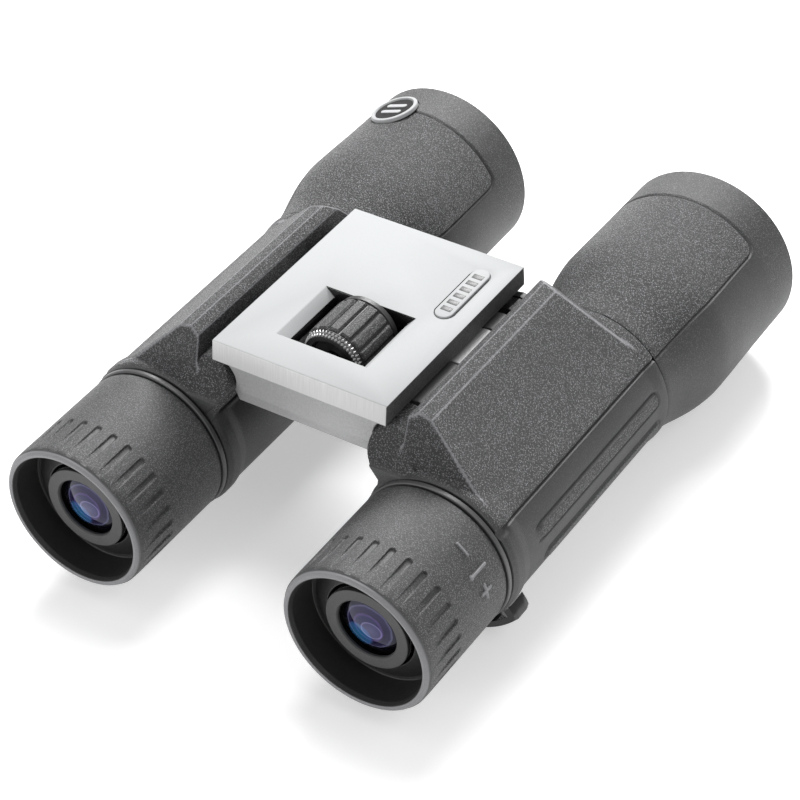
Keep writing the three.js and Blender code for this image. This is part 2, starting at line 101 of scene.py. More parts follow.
BADGE = {"radius": 5.4, "y": 126.1, "lean": 19.0, "seat": 19.6, "face": 20.9}
CUP_SLOTS = 28
SLOT_PHASE = 93.5


# ---- curves and outlines
def rise(low, high, value):
    """0 below low, 1 above high and a smooth step between them."""
    t = np.clip((value - low) / (high - low), 0.0, 1.0)
    return t * t * (3 - 2 * t)


def ridge_line(distance, width):
    """A rounded ridge or groove, 1 on the line and fading over the width."""
    return np.exp(-((distance / width) ** 2))


def soft_curve(points, at, soften=1.0):
    """A line through [y, value] points, with its corners eased over the given length."""
    ys, values = zip(*points)
    offsets = np.linspace(-1, 1, 9)
    weights = np.cos(offsets * math.pi / 2) + 0.05
    total = sum(w * np.interp(at + o * soften, ys, values) for o, w in zip(offsets, weights))
    return total / weights.sum()


def samples(low, high, step, *fine):
    """Evenly spaced values, with closer ones in each (from, to, step) stretch."""
    values = list(np.arange(low, high, step))
    for start, end, closer in fine:
        values = [v for v in values if not start - step * 0.5 < v < end + step * 0.5]
        values += list(np.linspace(start, end, int(round((end - start) / closer)) + 1))
    return np.array(sorted(values))


def pad_distance(s, t, half, low, high, corner):
    """Distance to the edge of a rounded bar, below 0 inside it."""
    ds = np.abs(s) - (half - corner)
    dt = np.abs(t - (low + high) / 2) - ((high - low) / 2 - corner)
    outside = np.hypot(np.maximum(ds, 0), np.maximum(dt, 0))
    return outside + np.minimum(np.maximum(ds, dt), 0) - corner


def rounded(outline, corner=0.3, steps=4):
    """A closed outline with its corners rounded. A point may give its own radius as a third number."""
    points = []
    count = len(outline)
    for k, given in enumerate(outline):
        here = np.array(given[:2], float)
        if here[0] == 0:
            points.append(here)
            continue
        back = np.array(outline[k - 1][:2], float) - here
        ahead = np.array(outline[(k + 1) % count][:2], float) - here
        long_back, long_ahead = np.linalg.norm(back), np.linalg.norm(ahead)
        back, ahead = back / long_back, ahead / long_ahead
        angle = math.acos(float(np.clip(back @ ahead, -1, 1)))
        radius = given[2] if len(given) > 2 else corner
        if angle > 3.0 or radius == 0:
            points.append(here)
            continue
        reach = min(radius / math.tan(angle / 2), 0.45 * long_back, 0.45 * long_ahead)
        start, end = here + back * reach, here + ahead * reach
        points.append(start + back * min(0.25, 0.04 * long_back))
        for t in np.linspace(0, 1, steps + 1):
            points.append((1 - t) ** 2 * start + 2 * t * (1 - t) * here + t * t * end)
        points.append(end + ahead * min(0.25, 0.04 * long_ahead))
    return np.array(points)


# ---- mesh tools
def new_object(name, vertices, faces, *finishes):
    mesh = bpy.data.meshes.new(name)
    mesh.from_pydata([tuple(v) for v in vertices], [], [tuple(int(i) for i in f) for f in faces])
    for finish in finishes:
        mesh.materials.append(finish)
    obj = bpy.data.objects.new(name, mesh)
    bpy.context.collection.objects.link(obj)
    return obj


def remesh(mesh, merge, *steps):
    """Merges doubled points, then takes each further step on the mesh."""
    shape = bmesh.new()
    shape.from_mesh(mesh)
    bmesh.ops.remove_doubles(shape, verts=shape.verts, dist=merge)
    for step in steps:
        step(shape)
    shape.to_mesh(mesh)
    shape.free()


def tidy_mesh(obj, merge=1e-4):
    """Closes seams and poles and points every face outward."""
    remesh(obj.data, merge,
           lambda shape: bmesh.ops.dissolve_degenerate(shape, edges=shape.edges, dist=merge),
           lambda shape: bmesh.ops.recalc_face_normals(shape, faces=shape.faces))


def smooth(obj, angle=35, flat_above=None):
    """Smooth shading up to an edge angle. Faces larger than flat_above stay flat."""
    mesh = obj.data
    mesh.shade_smooth()
    if flat_above:
        for face in mesh.polygons:
            face.use_smooth = face.area < flat_above
    mesh.set_sharp_from_angle(angle=math.radians(angle))


def shell(name, angles, radius, y, *finishes, whole=True):
    """A body of revolution whose outline may change with the angle: one row of points per angle."""
    rows, columns = radius.shape
    x = radius * np.cos(angles)[:, None]
    z = radius * np.sin(angles)[:, None]
    vertices = np.stack((x, y, z), -1).reshape(-1, 3)
    open_line = radius[0, 0] == 0 and radius[0, -1] == 0
    i = np.arange(rows if whole else rows - 1)[:, None]
    j = np.arange(columns - 1 if open_line else columns)[None, :]
    after, beside = (i + 1) % rows, (j + 1) % columns
    faces = np.stack((i * columns + j, after * columns + j, after * columns + beside,
                      i * columns + beside), -1).reshape(-1, 4)
    obj = new_object(name, vertices, faces, *finishes)
    tidy_mesh(obj)
    return obj


def framed(radius, y, before, after):
    """A skin's rows, with (radius, y) points that are the same at every angle put before and after them."""
    ones = np.ones((len(radius), 1))
    return [np.hstack([*(p[k] * ones for p in before), middle, *(p[k] * ones for p in after)])
            for k, middle in enumerate((radius, y))]


def turned(name, outline, finish, corner=0.3, sides=96, angle=35):
    """A part turned on a lathe from an outline of (radius, y) points."""
    points = rounded(outline, corner)
    angles = np.linspace(0, 2 * math.pi, sides, endpoint=False)
    obj = shell(name, angles, np.tile(points[:, 0], (sides, 1)), np.tile(points[:, 1], (sides, 1)), finish)
    smooth(obj, angle)
    return obj


def pad(name, angles, ys, top, bottom, finish):
    """A closed patch that lies round a cylinder, between two radii given for each angle and y."""
    rows, columns = top.shape
    cos, sin = np.cos(angles)[:, None], np.sin(angles)[:, None]
    yy = np.broadcast_to(ys, top.shape)
    layers = [np.stack((r * cos, yy, r * sin), -1).reshape(-1, 3) for r in (top, bottom)]
    under = rows * columns
    at = lambda i, j: i * columns + j
    faces = []
    for i in range(rows - 1):
        for j in range(columns - 1):
            quad = (at(i, j), at(i + 1, j), at(i + 1, j + 1), at(i, j + 1))
            faces += [quad, tuple(under + v for v in reversed(quad))]
    edge = [at(i, 0) for i in range(rows)] + [at(rows - 1, j) for j in range(1, columns)]
    edge += [at(i, columns - 1) for i in range(rows - 2, -1, -1)] + [at(0, j) for j in range(columns - 2, 0, -1)]
    faces += [(a, b, b + under, a + under) for a, b in zip(edge, edge[1:] + edge[:1])]
    obj = new_object(name, np.concatenate(layers), faces, finish)
    tidy_mesh(obj)
    smooth(obj)
    return obj


def rod(radius, y0, y1, x=0.0, z=0.0, sides=72, finish=None):
    angles = np.linspace(0, 2 * math.pi, sides, endpoint=False)
    ring = [(x + radius * math.cos(a), z + radius * math.sin(a)) for a in angles]
    return prism(ring, y0, y1, finish)


def prism(outline, y0, y1, finish=None):
    """An outline of (x, z) points drawn out along Y."""
    count = len(outline)
    vertices = [(x, y, z) for y in (y0, y1) for x, z in outline]
    faces = [tuple(range(count)), tuple(range(2 * count - 1, count - 1, -1))]
    faces += [(k, k + count, (k + 1) % count + count, (k + 1) % count) for k in range(count)]
    obj = new_object("prism", vertices, faces, *([finish] if finish else []))
    tidy_mesh(obj)
    return obj


def block(x0, x1, y0, y1, z0, z1):
    return prism([(x0, z0), (x1, z0), (x1, z1), (x0, z1)], y0, y1)


def hinge_web(width, y0, y1, near, far):
    """A block on the line from the hinge axis to the optical axis of a barrel."""
    obj = block(near, far, y0, y1, -width / 2, width / 2)
    turn = Matrix.Rotation(math.atan2(HINGE_W, -HINGE_U), 4, "Y")
    obj.data.transform(Matrix.Translation((HINGE_U, 0, HINGE_W)) @ turn)
    return obj


def bake(obj):
    """Turns an object's modifiers into its mesh."""
    bpy.context.view_layer.update()
    result = bpy.data.meshes.new_from_object(obj.evaluated_get(bpy.context.evaluated_depsgraph_get()))
    obj.modifiers.clear()
    obj.data = result
    return obj


def combine(obj, others, how="DIFFERENCE"):
    """Cuts the other solids away from an object, or joins them to it."""
    for other in others:
        step = obj.modifiers.new("combine", "BOOLEAN")
        step.object = other
        step.operation = how
        step.solver = "EXACT"
    bake(obj)
    for other in others:
        bpy.data.objects.remove(other)
    return obj


def soften(obj, width, angle=30, segments=3, flat_above=4.0):
    """Rounds the sharp edges of a solid and leaves its large faces flat."""
    remesh(obj.data, 0.002, lambda shape: bmesh.ops.dissolve_limit(
        shape, angle_limit=math.radians(1), verts=shape.verts, edges=shape.edges, delimit={"MATERIAL"}))
    bevel = obj.modifiers.new("soften", "BEVEL")
    bevel.width = width
    bevel.segments = segments
    bevel.limit_method = "ANGLE"
    bevel.angle_limit = math.radians(angle)
    bevel.use_clamp_overlap = False
    bake(obj)
    smooth(obj, 40, flat_above)
    return obj


def merged(name, objects):
    """Joins objects into the first one, materials included."""
    with bpy.context.temp_override(active_object=objects[0], selected_editable_objects=objects,
                                   object=objects[0], selected_objects=objects):
        bpy.ops.object.join()
    objects[0].name = name
    return objects[0]


def node_copy(node, finish):
    """A copy of a frame node's shape in millimetres, merged into clean faces."""
    mesh = frame["nodes"][node].data.copy()
    mesh.transform(bench(0).inverted())
    mesh.materials.clear()
    mesh.materials.append(finish)
    obj = bpy.data.objects.new(node + "_shape", mesh)
    bpy.context.collection.objects.link(obj)
    remesh(mesh, 0.003)
    return obj


def copies(obj, count, finish, step=(0, 0, 0), turn=0.0):
    """Geometry nodes that repeat a mesh, each copy moved and turned about Y from the one before."""
    tree = bpy.data.node_groups.new("copies", "GeometryNodeTree")
    sockets = {}
    for title, kind in (("Shape", "Geometry"), ("Count", "Int"), ("Step", "Vector"), ("Turn", "Float"),
                        ("Finish", "Material")):
        sockets[title] = tree.interface.new_socket(title, in_out="INPUT", socket_type="NodeSocket" + kind)
    tree.interface.new_socket("Shape", in_out="OUTPUT", socket_type="NodeSocketGeometry")
    given = tree.nodes.new("NodeGroupInput").outputs
    line = wire(tree, "GeometryNodeMeshLine", {"Count": given["Count"], "Offset": given["Step"]},
                mode="OFFSET")
    number = wire(tree, "GeometryNodeInputIndex")
    angle = wire(tree, "ShaderNodeMath", {0: number.outputs[0], 1: given["Turn"]}, operation="MULTIPLY")
    axis = wire(tree, "ShaderNodeCombineXYZ", {"Y": angle.outputs[0]})
    euler = wire(tree, "FunctionNodeEulerToRotation", {0: axis.outputs[0]})
    placed = wire(tree, "GeometryNodeInstanceOnPoints", {
        "Points": line.outputs[0], "Instance": given["Shape"], "Rotation": euler.outputs[0]})
    solid = wire(tree, "GeometryNodeRealizeInstances", {"Geometry": placed.outputs[0]})
    painted = wire(tree, "GeometryNodeSetMaterial", {
        "Geometry": solid.outputs[0], "Material": given["Finish"]})
    wire(tree, "NodeGroupOutput", {0: painted.outputs[0]})
    step_modifier = obj.modifiers.new("copies", "NODES")
    step_modifier.node_group = tree
    for title, value in (("Count", count), ("Step", step), ("Turn", turn), ("Finish", finish)):
        step_modifier[sockets[title].identifier] = value
    return bake(obj)


def paint(obj, name, values):
    """A per-point amount that the finish reads, such as how much grain shows."""
    attribute = obj.data.attributes.new(name, "FLOAT", "POINT")
    attribute.data.foreach_set("value", np.asarray(values, np.float32))


def points_of(obj):
    """(angle in degrees, y, radius) of every point of an object still at the bench."""
    flat = np.empty(len(obj.data.vertices) * 3)
    obj.data.vertices.foreach_get("co", flat)
    u, y, w = flat.reshape(-1, 3).T
    return np.degrees(np.arctan2(w, u)), y, np.hypot(u, w)


def bench(side):
    """From bench millimetres to the row frame. A barrel bench is mirrored for the left side."""
    across = -MM if side < 0 else MM
    return Matrix.Translation((side * OPTIC[0], CAD_LOW[1], OPTIC[2])) @ Matrix.Diagonal((across, MM, MM, 1))


def settle(obj, name, side, body, replaces=()):
    """Moves a finished piece from its bench to its place and gives it to a body of the frame."""
    obj.name = name
    obj.data.name = name
    obj.data.transform(bench(side))
    if side < 0:
        obj.data.flip_normals()
    obj.data.update()
    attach(obj, body)
    if replaces:
        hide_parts(*replaces)
    return obj


# ---- finishes
def wire(tree, kind, inputs=None, **settings):
    """A node with its settings and inputs. An input is a constant or another node's output."""
    node = tree.nodes.new(kind)
    for key, value in settings.items():
        setattr(node, key, value)
    for key, value in (inputs or {}).items():
        if isinstance(value, bpy.types.NodeSocket):
            tree.links.new(value, node.inputs[key])
        else:
            node.inputs[key].default_value = value
    return node


def grey(level, tint=(1, 1, 1)):
    return tuple(level * t for t in tint) + (1.0,)


def scaled(colour, amount):
    """The same colour, darker or brighter."""
    return tuple(c * amount for c in colour[:3]) + (1.0,)


def new_finish(name, **constants):
    """A material whose shader takes the given constants. Returns it with its tree, shader and place."""
    finish = bpy.data.materials.new(name)
    finish.use_nodes = True
    tree = finish.node_tree
    shader = tree.nodes["Principled BSDF"]
    for key, value in constants.items():
        shader.inputs[key.replace("_", " ").title().replace("Ior", "IOR")].default_value = value
    place = wire(tree, "ShaderNodeTexCoord").outputs["Object"]
    return finish, tree, shader, place


def ramp(tree, amount, *stops):
    """Colour stops (position, colour) along an amount."""
    node = wire(tree, "ShaderNodeValToRGB", {"Fac": amount})
    while len(node.color_ramp.elements) < len(stops):
        node.color_ramp.elements.new(0.5)
    for element, (position, colour) in zip(node.color_ramp.elements, stops):
        element.position = position
        element.color = colour
    return node.outputs["Color"]


def spread(tree, value, from_low, from_high, to_low, to_high):
    return wire(tree, "ShaderNodeMapRange", {
        "Value": value, "From Min": from_low, "From Max": from_high, "To Min": to_low, "To Max": to_high,
    }).outputs["Result"]


def mix_colour(tree, amount, a, b, how="MIX"):
    return wire(tree, "ShaderNodeMix", {0: amount, 6: a, 7: b}, data_type="RGBA", blend_type=how).outputs[2]


def maths(tree, how, a, b):
    return wire(tree, "ShaderNodeMath", {0: a, 1: b}, operation=how).outputs[0]


def weighted(tree, *parts):
    """The sum of values, each given with its weight."""
    shares = [maths(tree, "MULTIPLY", value, weight) for value, weight in parts]
    total = shares[0]
    for share in shares[1:]:
        total = maths(tree, "ADD", total, share)
    return total


def noise(tree, place, scale, detail=3.0, roughness=0.55):
    return wire(tree, "ShaderNodeTexNoise", {
        "Vector": place, "Scale": scale, "Detail": detail, "Roughness": roughness}).outputs["Fac"]


def attribute(tree, name):
    """The amount that paint() left on each point of a piece."""
    return wire(tree, "ShaderNodeAttribute", attribute_name=name).outputs["Fac"]


def feed(tree, shader, colour, rough=None, relief=None, depth=0.0, strength=1.0):
    """Gives a shader its colour, roughness and relief, with the relief's depth in millimetres."""
    tree.links.new(colour, shader.inputs["Base Color"])
    if rough is not None:
        tree.links.new(rough, shader.inputs["Roughness"])
    if relief is not None:
        bump = wire(tree, "ShaderNodeBump", {"Height": relief, "Distance": depth * MM, "Strength": strength})
        tree.links.new(bump.outputs[0], shader.inputs["Normal"])


def rubber_finish(name, cell, top, crevice_shade, bare, depth=0.12):
    """Moulded rubber. The piece's grain amount says where the pebble texture shows. The pebble colours paint
    shade into the crevices and a highlight onto the pebble tops, and the edge amount paints a highlight in a
    brighter copy of the top colour.
    """
    finish, tree, shader, place = new_finish(name, metallic=0.0, specular_ior_level=0.7)
    wobble = wire(tree, "ShaderNodeTexNoise", {"Vector": place, "Scale": 0.5 / (cell * MM), "Detail": 1.0})
    moved = wire(tree, "ShaderNodeVectorMath", {0: wobble.outputs["Color"], 1: (cell * MM * 0.9,) * 3},
                 operation="MULTIPLY").outputs[0]
    bent = wire(tree, "ShaderNodeVectorMath", {0: place, 1: moved}, operation="ADD").outputs[0]
    coarse = wire(tree, "ShaderNodeTexVoronoi", {"Vector": bent, "Scale": 1 / (cell * MM)})
    fine = wire(tree, "ShaderNodeTexVoronoi", {"Vector": bent, "Scale": 2.1 / (cell * MM)})
    pebble = spread(tree, coarse.outputs["Distance"], 0.08, 0.72, 1.0, 0.0)
    grit = spread(tree, fine.outputs["Distance"], 0.05, 0.7, 1.0, 0.0)
    dust = noise(tree, place, 3.2 / (cell * MM), 2.0, 0.6)
    dust = spread(tree, dust, 0.3, 0.7, 0.0, 1.0)
    height = weighted(tree, (pebble, 0.45), (grit, 0.25), (dust, 0.3))
    grain = attribute(tree, "grain")
    haze = noise(tree, place, 60.0, 4.0)
    # Pebble grain colour: painted shade in the crevices, painted highlight on the pebble tops.
    pebble_grain_with_painted_light = ramp(tree, height, (0.22, crevice_shade), (0.48, bare), (0.76, top))
    plain = mix_colour(tree, haze, scaled(bare, 0.5), scaled(bare, 0.7))
    colour = mix_colour(tree, grain, plain, pebble_grain_with_painted_light)
    hazy = mix_colour(tree, spread(tree, haze, 0.3, 0.7, 0.0, 0.2), colour, crevice_shade)
    # Painted highlight: the edge amount lightens the colour towards a brighter copy of the top colour.
    with_painted_highlight = mix_colour(tree, attribute(tree, "edge"), hazy, scaled(top, 1.2))
    shine = spread(tree, height, 0.1, 0.9, 0.62, 0.34)
    flat_shine = spread(tree, haze, 0.3, 0.7, 0.5, 0.6)
    rough = wire(tree, "ShaderNodeMix", {0: grain, 2: flat_shine, 3: shine}).outputs[0]
    micro = noise(tree, place, 5200.0, 2.0)
    feed(tree, shader, with_painted_highlight, rough, weighted(tree, (height, grain), (micro, 0.16)), depth, 0.9)
    return finish


def speckled_finish(name, colour, other, speck, rough, metallic=0.0, depth=0.02, **constants):
    """Paint, plastic or cast metal with a fine speck, in size speck millimetres."""
    finish, tree, shader, place = new_finish(name, metallic=metallic, **constants)
    specks = noise(tree, place, 1 / (speck * MM), 4.0, 0.7)
    cloud = noise(tree, place, 45.0, 3.0)
    both = weighted(tree, (specks, 0.7), (cloud, 0.3))
    feed(tree, shader, ramp(tree, both, (0.36, other), (0.6, colour)),
         spread(tree, both, 0.3, 0.7, rough * 1.15, rough * 0.88), specks, depth)
    return finish


def brushed_finish(name, colour, other, rough, metallic, along):
    """Metal brushed in one direction: `along` holds the scale of the lines on each axis."""
    finish, tree, shader, place = new_finish(name, metallic=metallic)
    lines = wire(tree, "ShaderNodeMapping", {"Vector": place, "Scale": along}).outputs[0]
    stroke = noise(tree, lines, 1.0, 5.0, 0.65)
    feed(tree, shader, ramp(tree, stroke, (0.33, other), (0.66, colour)),
         spread(tree, stroke, 0.3, 0.7, rough * 1.25, rough * 0.8), stroke, 0.02)
    return finish


def painted_reflection_glass(name, centre, stops, radius, disc_reflection, transmission):
    """Glass with painted reflections: rings of colour round the lens axis, a paler disc a little off it and a
    teal crescent, all painted into the colour in place of the reflections of the coatings and inner lenses.
    """
    finish, tree, shader, place = new_finish(
        name, roughness=0.02, ior=1.55, transmission_weight=transmission, coat_weight=0.1,
        coat_roughness=0.01, specular_ior_level=0.3, specular_tint=(0.5, 0.5, 1.0, 1.0))
    size = 1 / (radius * MM)

    def distance(shift_x, shift_z, stretch=1.0):
        scale = (size, 0.0, size * stretch)
        location = (-centre[0] * scale[0] + shift_x, 0.0, -centre[2] * scale[2] + shift_z)
        flat = wire(tree, "ShaderNodeMapping", {"Vector": place, "Location": location, "Scale": scale})
        return wire(tree, "ShaderNodeVectorMath", {0: flat.outputs[0]}, operation="LENGTH").outputs["Value"]

    smear = maths(tree, "MULTIPLY", noise(tree, place, 500.0, 1.0), 0.05)
    rings = ramp(tree, maths(tree, "ADD", distance(0, 0), smear), *stops)
    # A paler painted reflection disc with a bright painted ring round it, and a painted teal crescent.
    disc = ramp(tree, distance(-0.1, 0.06, 1.15), (0.0, disc_reflection), (0.27, scaled(disc_reflection, 0.6)),
                (0.31, scaled(disc_reflection, 2.6)), (0.335, grey(0)))
    teal = ramp(tree, distance(0.3, 0.38), (0.0, (0.0, 0.07, 0.12, 1)), (0.34, (0.01, 0.05, 0.12, 1)),
                (0.42, grey(0)))
    both = mix_colour(tree, 1.0, rings, disc, "ADD")
    feed(tree, shader, mix_colour(tree, 1.0, both, teal, "ADD"))
    return finish


# Each rubber: grain cell size, the painted highlight colour of the pebble tops, the painted crevice shade and
# the bare colour.
RUBBER = rubber_finish("armour_rubber", 0.34, grey(0.36, (1, 1, 1.06)), grey(0.006),
                       grey(0.024, (1, 1.01, 1.08)), 0.24)
CUP_RUBBER = rubber_finish("cup_rubber", 0.30, grey(0.30, (1, 1, 1.05)), grey(0.010),
                           grey(0.034, (1, 1, 1.05)), 0.15)
SMOOTH_RUBBER = speckled_finish("smooth_rubber", grey(0.042, (1, 1, 1.06)), grey(0.03), 0.35, 0.42,
                                specular_ior_level=0.8)
# A darker copy of the cup rubber for the inside of the cup: painted shade in the recess.
CUP_INSIDE_SHADE = speckled_finish("cup_inside_shade", grey(0.018), grey(0.013), 0.5, 0.5)
SILVER_TINT = (1, 1.02, 1.03)
SILVER = speckled_finish("silver_plate", grey(0.375, SILVER_TINT), grey(0.36, SILVER_TINT), 0.25, 0.62,
                         depth=0.01, specular_ior_level=0.12)
BRUSHED = brushed_finish("brushed_edge", grey(0.56), grey(0.48), 0.42, 0.2, (4500.0, 1.0, 160.0))
SIDE_PAINT = speckled_finish("plate_side", grey(0.10, (1, 1, 1.04)), grey(0.05), 0.4, 0.45, depth=0.06)
CAST = speckled_finish("cast_alloy", grey(0.42, (1, 1, 1.02)), grey(0.33), 0.3, 0.45, metallic=0.3, depth=0.04)
DARK_PLASTIC = speckled_finish("dark_plastic", grey(0.035), grey(0.022), 0.3, 0.42, depth=0.03)
RING_PAINT = speckled_finish("lens_ring_paint", grey(0.045), grey(0.035), 0.3, 0.55, depth=0.02)
KNUCKLE_PAINT = speckled_finish("knuckle_paint", grey(0.085, (1, 1, 1.04)), grey(0.05), 0.3, 0.42, depth=0.03)
BLACK_PLASTIC = speckled_finish("black_plastic", grey(0.012), grey(0.007), 0.4, 0.2, depth=0.01)
BLACK_ALLOY = speckled_finish("black_alloy", grey(0.02), grey(0.012), 0.25, 0.38, metallic=0.5, depth=0.02)
KNURL = speckled_finish("knurl", grey(0.42), grey(0.22), 0.3, 0.35, metallic=0.5)
STEEL = brushed_finish("steel", grey(0.55), grey(0.38), 0.3, 1.0, (500.0, 60.0, 500.0))
BRASS = brushed_finish("brass", (0.55, 0.40, 0.16, 1), (0.42, 0.29, 0.1, 1), 0.32, 1.0, (500.0, 60.0, 500.0))


def glass_finish():
    finish, tree, shader, place = new_finish(
        "optical_glass", roughness=0.01, ior=1.55, transmission_weight=1.0, specular_ior_level=0.6)
    cloud = noise(tree, place, 90.0, 2.0)
    feed(tree, shader, ramp(tree, cloud, (0.3, (0.80, 0.88, 0.97, 1)), (0.7, (0.9, 0.95, 1.0, 1))))
    return finish


GLASS = glass_finish()
# Colour stops of the painted reflection rings in the eye lens and the front lens.
EYE_STOPS = ((0.0, (0.006, 0.009, 0.035, 1)), (0.40, (0.008, 0.008, 0.045, 1)), (0.46, (0.05, 0.03, 0.11, 1)),
             (0.50, (0.006, 0.004, 0.02, 1)), (0.66, (0.012, 0.01, 0.035, 1)), (0.71, (0.07, 0.07, 0.13, 1)),
             (0.74, (0.003, 0.003, 0.006, 1)), (0.93, (0.002, 0.002, 0.003, 1)))
FRONT_STOPS = ((0.0, (0.03, 0.02, 0.09, 1)), (0.45, (0.06, 0.03, 0.2, 1)), (0.8, (0.03, 0.06, 0.22, 1)),
               (1.0, (0.02, 0.08, 0.1, 1)))


# ---- bridge
def bridge_plate():
    """The silver cover plate: bright top, brushed rear face and dark grained sides."""
    obj = node_copy("top_plate", SILVER)
    obj.data.materials.append(BRUSHED)
    obj.data.materials.append(SIDE_PAINT)
    obj.data.materials.append(BLACK_PLASTIC)
    edge = PLATE["half"] - 0.05
    for face in obj.data.polygons:
        if abs(face.normal.x) > 0.9 and abs(face.center.x) > edge:
            face.material_index = 2
        elif face.normal.y < -0.7 and face.center.y < PLATE["rear"] + 0.5:
            face.material_index = 1
        elif face.normal.z < 0.3 and PLATE["rear"] + 2 < face.center.y < PLATE["rear"] + 40:
            face.material_index = 3
    soften(obj, 0.22, angle=30)
    settle(obj, "cover_plate", 0, "bridge", ["top_plate"])


def plate_mark():
    """A plain rounded bar with dark dashes let into it, in place of any lettering."""
    x, half = MARK["x"], MARK["half"]
    bar = node_copy("plate_mark", SILVER)
    soften(bar, 0.16, angle=40)
    dash_half, dash_long, pitch, count = 1.15, 1.3, 2.3, 6
    outline = [(-dash_half, -0.35), (dash_half, -0.35), (dash_half, 0.06), (-dash_half, 0.06)]
    dash = prism(outline, 0, dash_long, DARK_PLASTIC)
    middle = (MARK["rear"] + MARK["front"]) / 2
    start = middle - (pitch * (count - 1) + dash_long) / 2
    dash.data.transform(Matrix.Translation((x, start, MARK["top"])))
    copies(dash, count, DARK_PLASTIC, step=(0, pitch, 0))
    tidy_mesh(dash)
    soften(dash, 0.05, segments=2)
    settle(bar, "plate_mark_bar", 0, "bridge", ["plate_mark"])
    settle(dash, "plate_mark_dashes", 0, "bridge")


def bridge_frame():
    """The cast frame under the plate, with the middle knuckle of each hinge."""
    f = FRAME
    outline = [(-f["half_top"], f["top"]), (-f["half_bottom"], f["bottom"]),
               (f["half_bottom"], f["bottom"]), (f["half_top"], f["top"])]
    body = prism(outline, f["rear"], f["front"], CAST)
    combine(body, [rod(NOTCH, f["rear"] - 1, f["front"] + 1, s * HINGE_X, HINGE_W) for s in (-1, 1)])
    joined = []
    for s in (-1, 1):
        joined.append(rod(KNUCKLE, *BRIDGE_KNUCKLE, s * HINGE_X, HINGE_W))
        near, far = sorted((s * 14.0, s * HINGE_X))
        joined.append(block(near, far, *BRIDGE_KNUCKLE, HINGE_W - 2.6, HINGE_W + 2.6))
    combine(body, joined, "UNION")
    cuts = [rod(PIN["bore"], 50, 72, s * HINGE_X, HINGE_W, 40) for s in (-1, 1)]
    cuts.append(block(-9, 9, 40.8, 79.8, f["bottom"] - 1, f["top"] + 1))
    cuts.append(block(-13, 13, 37, 79, f["bottom"] - 1, f["bottom"] + 1.1))
    cuts.append(block(-HINGE_X, HINGE_X, 75, 81, 15.6, 20))
    cuts.append(block(-1.95, 1.95, 36, 81.4, WHEEL_W - 1.95, f["top"] + 1))
    combine(body, cuts)
    soften(body, 0.25, angle=40)
    settle(body, "cast_frame", 0, "bridge", ["bridge_frame"])


def bottom_cover():
    """The cover under the bridge and its four cross-head screws."""
    cover = node_copy("bottom_cover", DARK_PLASTIC)
    soften(cover, 0.15, angle=40)
    settle(cover, "underside_cover", 0, "bridge", ["bottom_cover"])
    low, high = [np.array(corner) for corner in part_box("cover_screw_1")]
    first = (low + high) / 2
    across = 2 * abs(first[0]) / MM
    along = (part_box("cover_screw_3")[0][1] - low[1]) / MM
    head, shank, top = 1.5, 0.75, 0.8
    outline = [(0, 0.0), (head, 0.0), (head, top), (shank, top, 0), (shank, 5.4), (0, 5.4)]
    screw = turned("screw", outline, STEEL, corner=0.18, sides=28)
    slots = [block(-0.95, 0.95, -1, 0.4, -0.2, 0.2), block(-0.2, 0.2, -1, 0.4, -0.95, 0.95)]
    combine(screw, slots)
    smooth(screw, 35, 0.5)
    screw.data.transform(Matrix.Rotation(math.radians(90), 4, "X"))
    place = Vector((first[0] / MM, (first[1] - CAD_LOW[1]) / MM, FRAME["bottom"]))
    screw.data.transform(Matrix.Translation(place))
    copies(screw, 2, STEEL, step=(across, 0, 0))
    copies(screw, 2, STEEL, step=(0, along, 0))
    names = [f"cover_screw_{k}" for k in (1, 2, 3, 4)]
    settle(screw, "cover_screws", 0, "bridge", names)


def hinge_pins():
    for side, name in SIDES:
        pin = turned("pin", [(0, PIN["rear"]), (PIN["radius"], PIN["rear"]), (PIN["radius"], PIN["front"]),
                             (0, PIN["front"])], STEEL, corner=0.4, sides=48)
        pin.data.transform(Matrix.Translation((side * HINGE_X, 0, HINGE_W)))
        settle(pin, f"{name}_pin", 0, "bridge", [f"{name}_hinge_pin"])


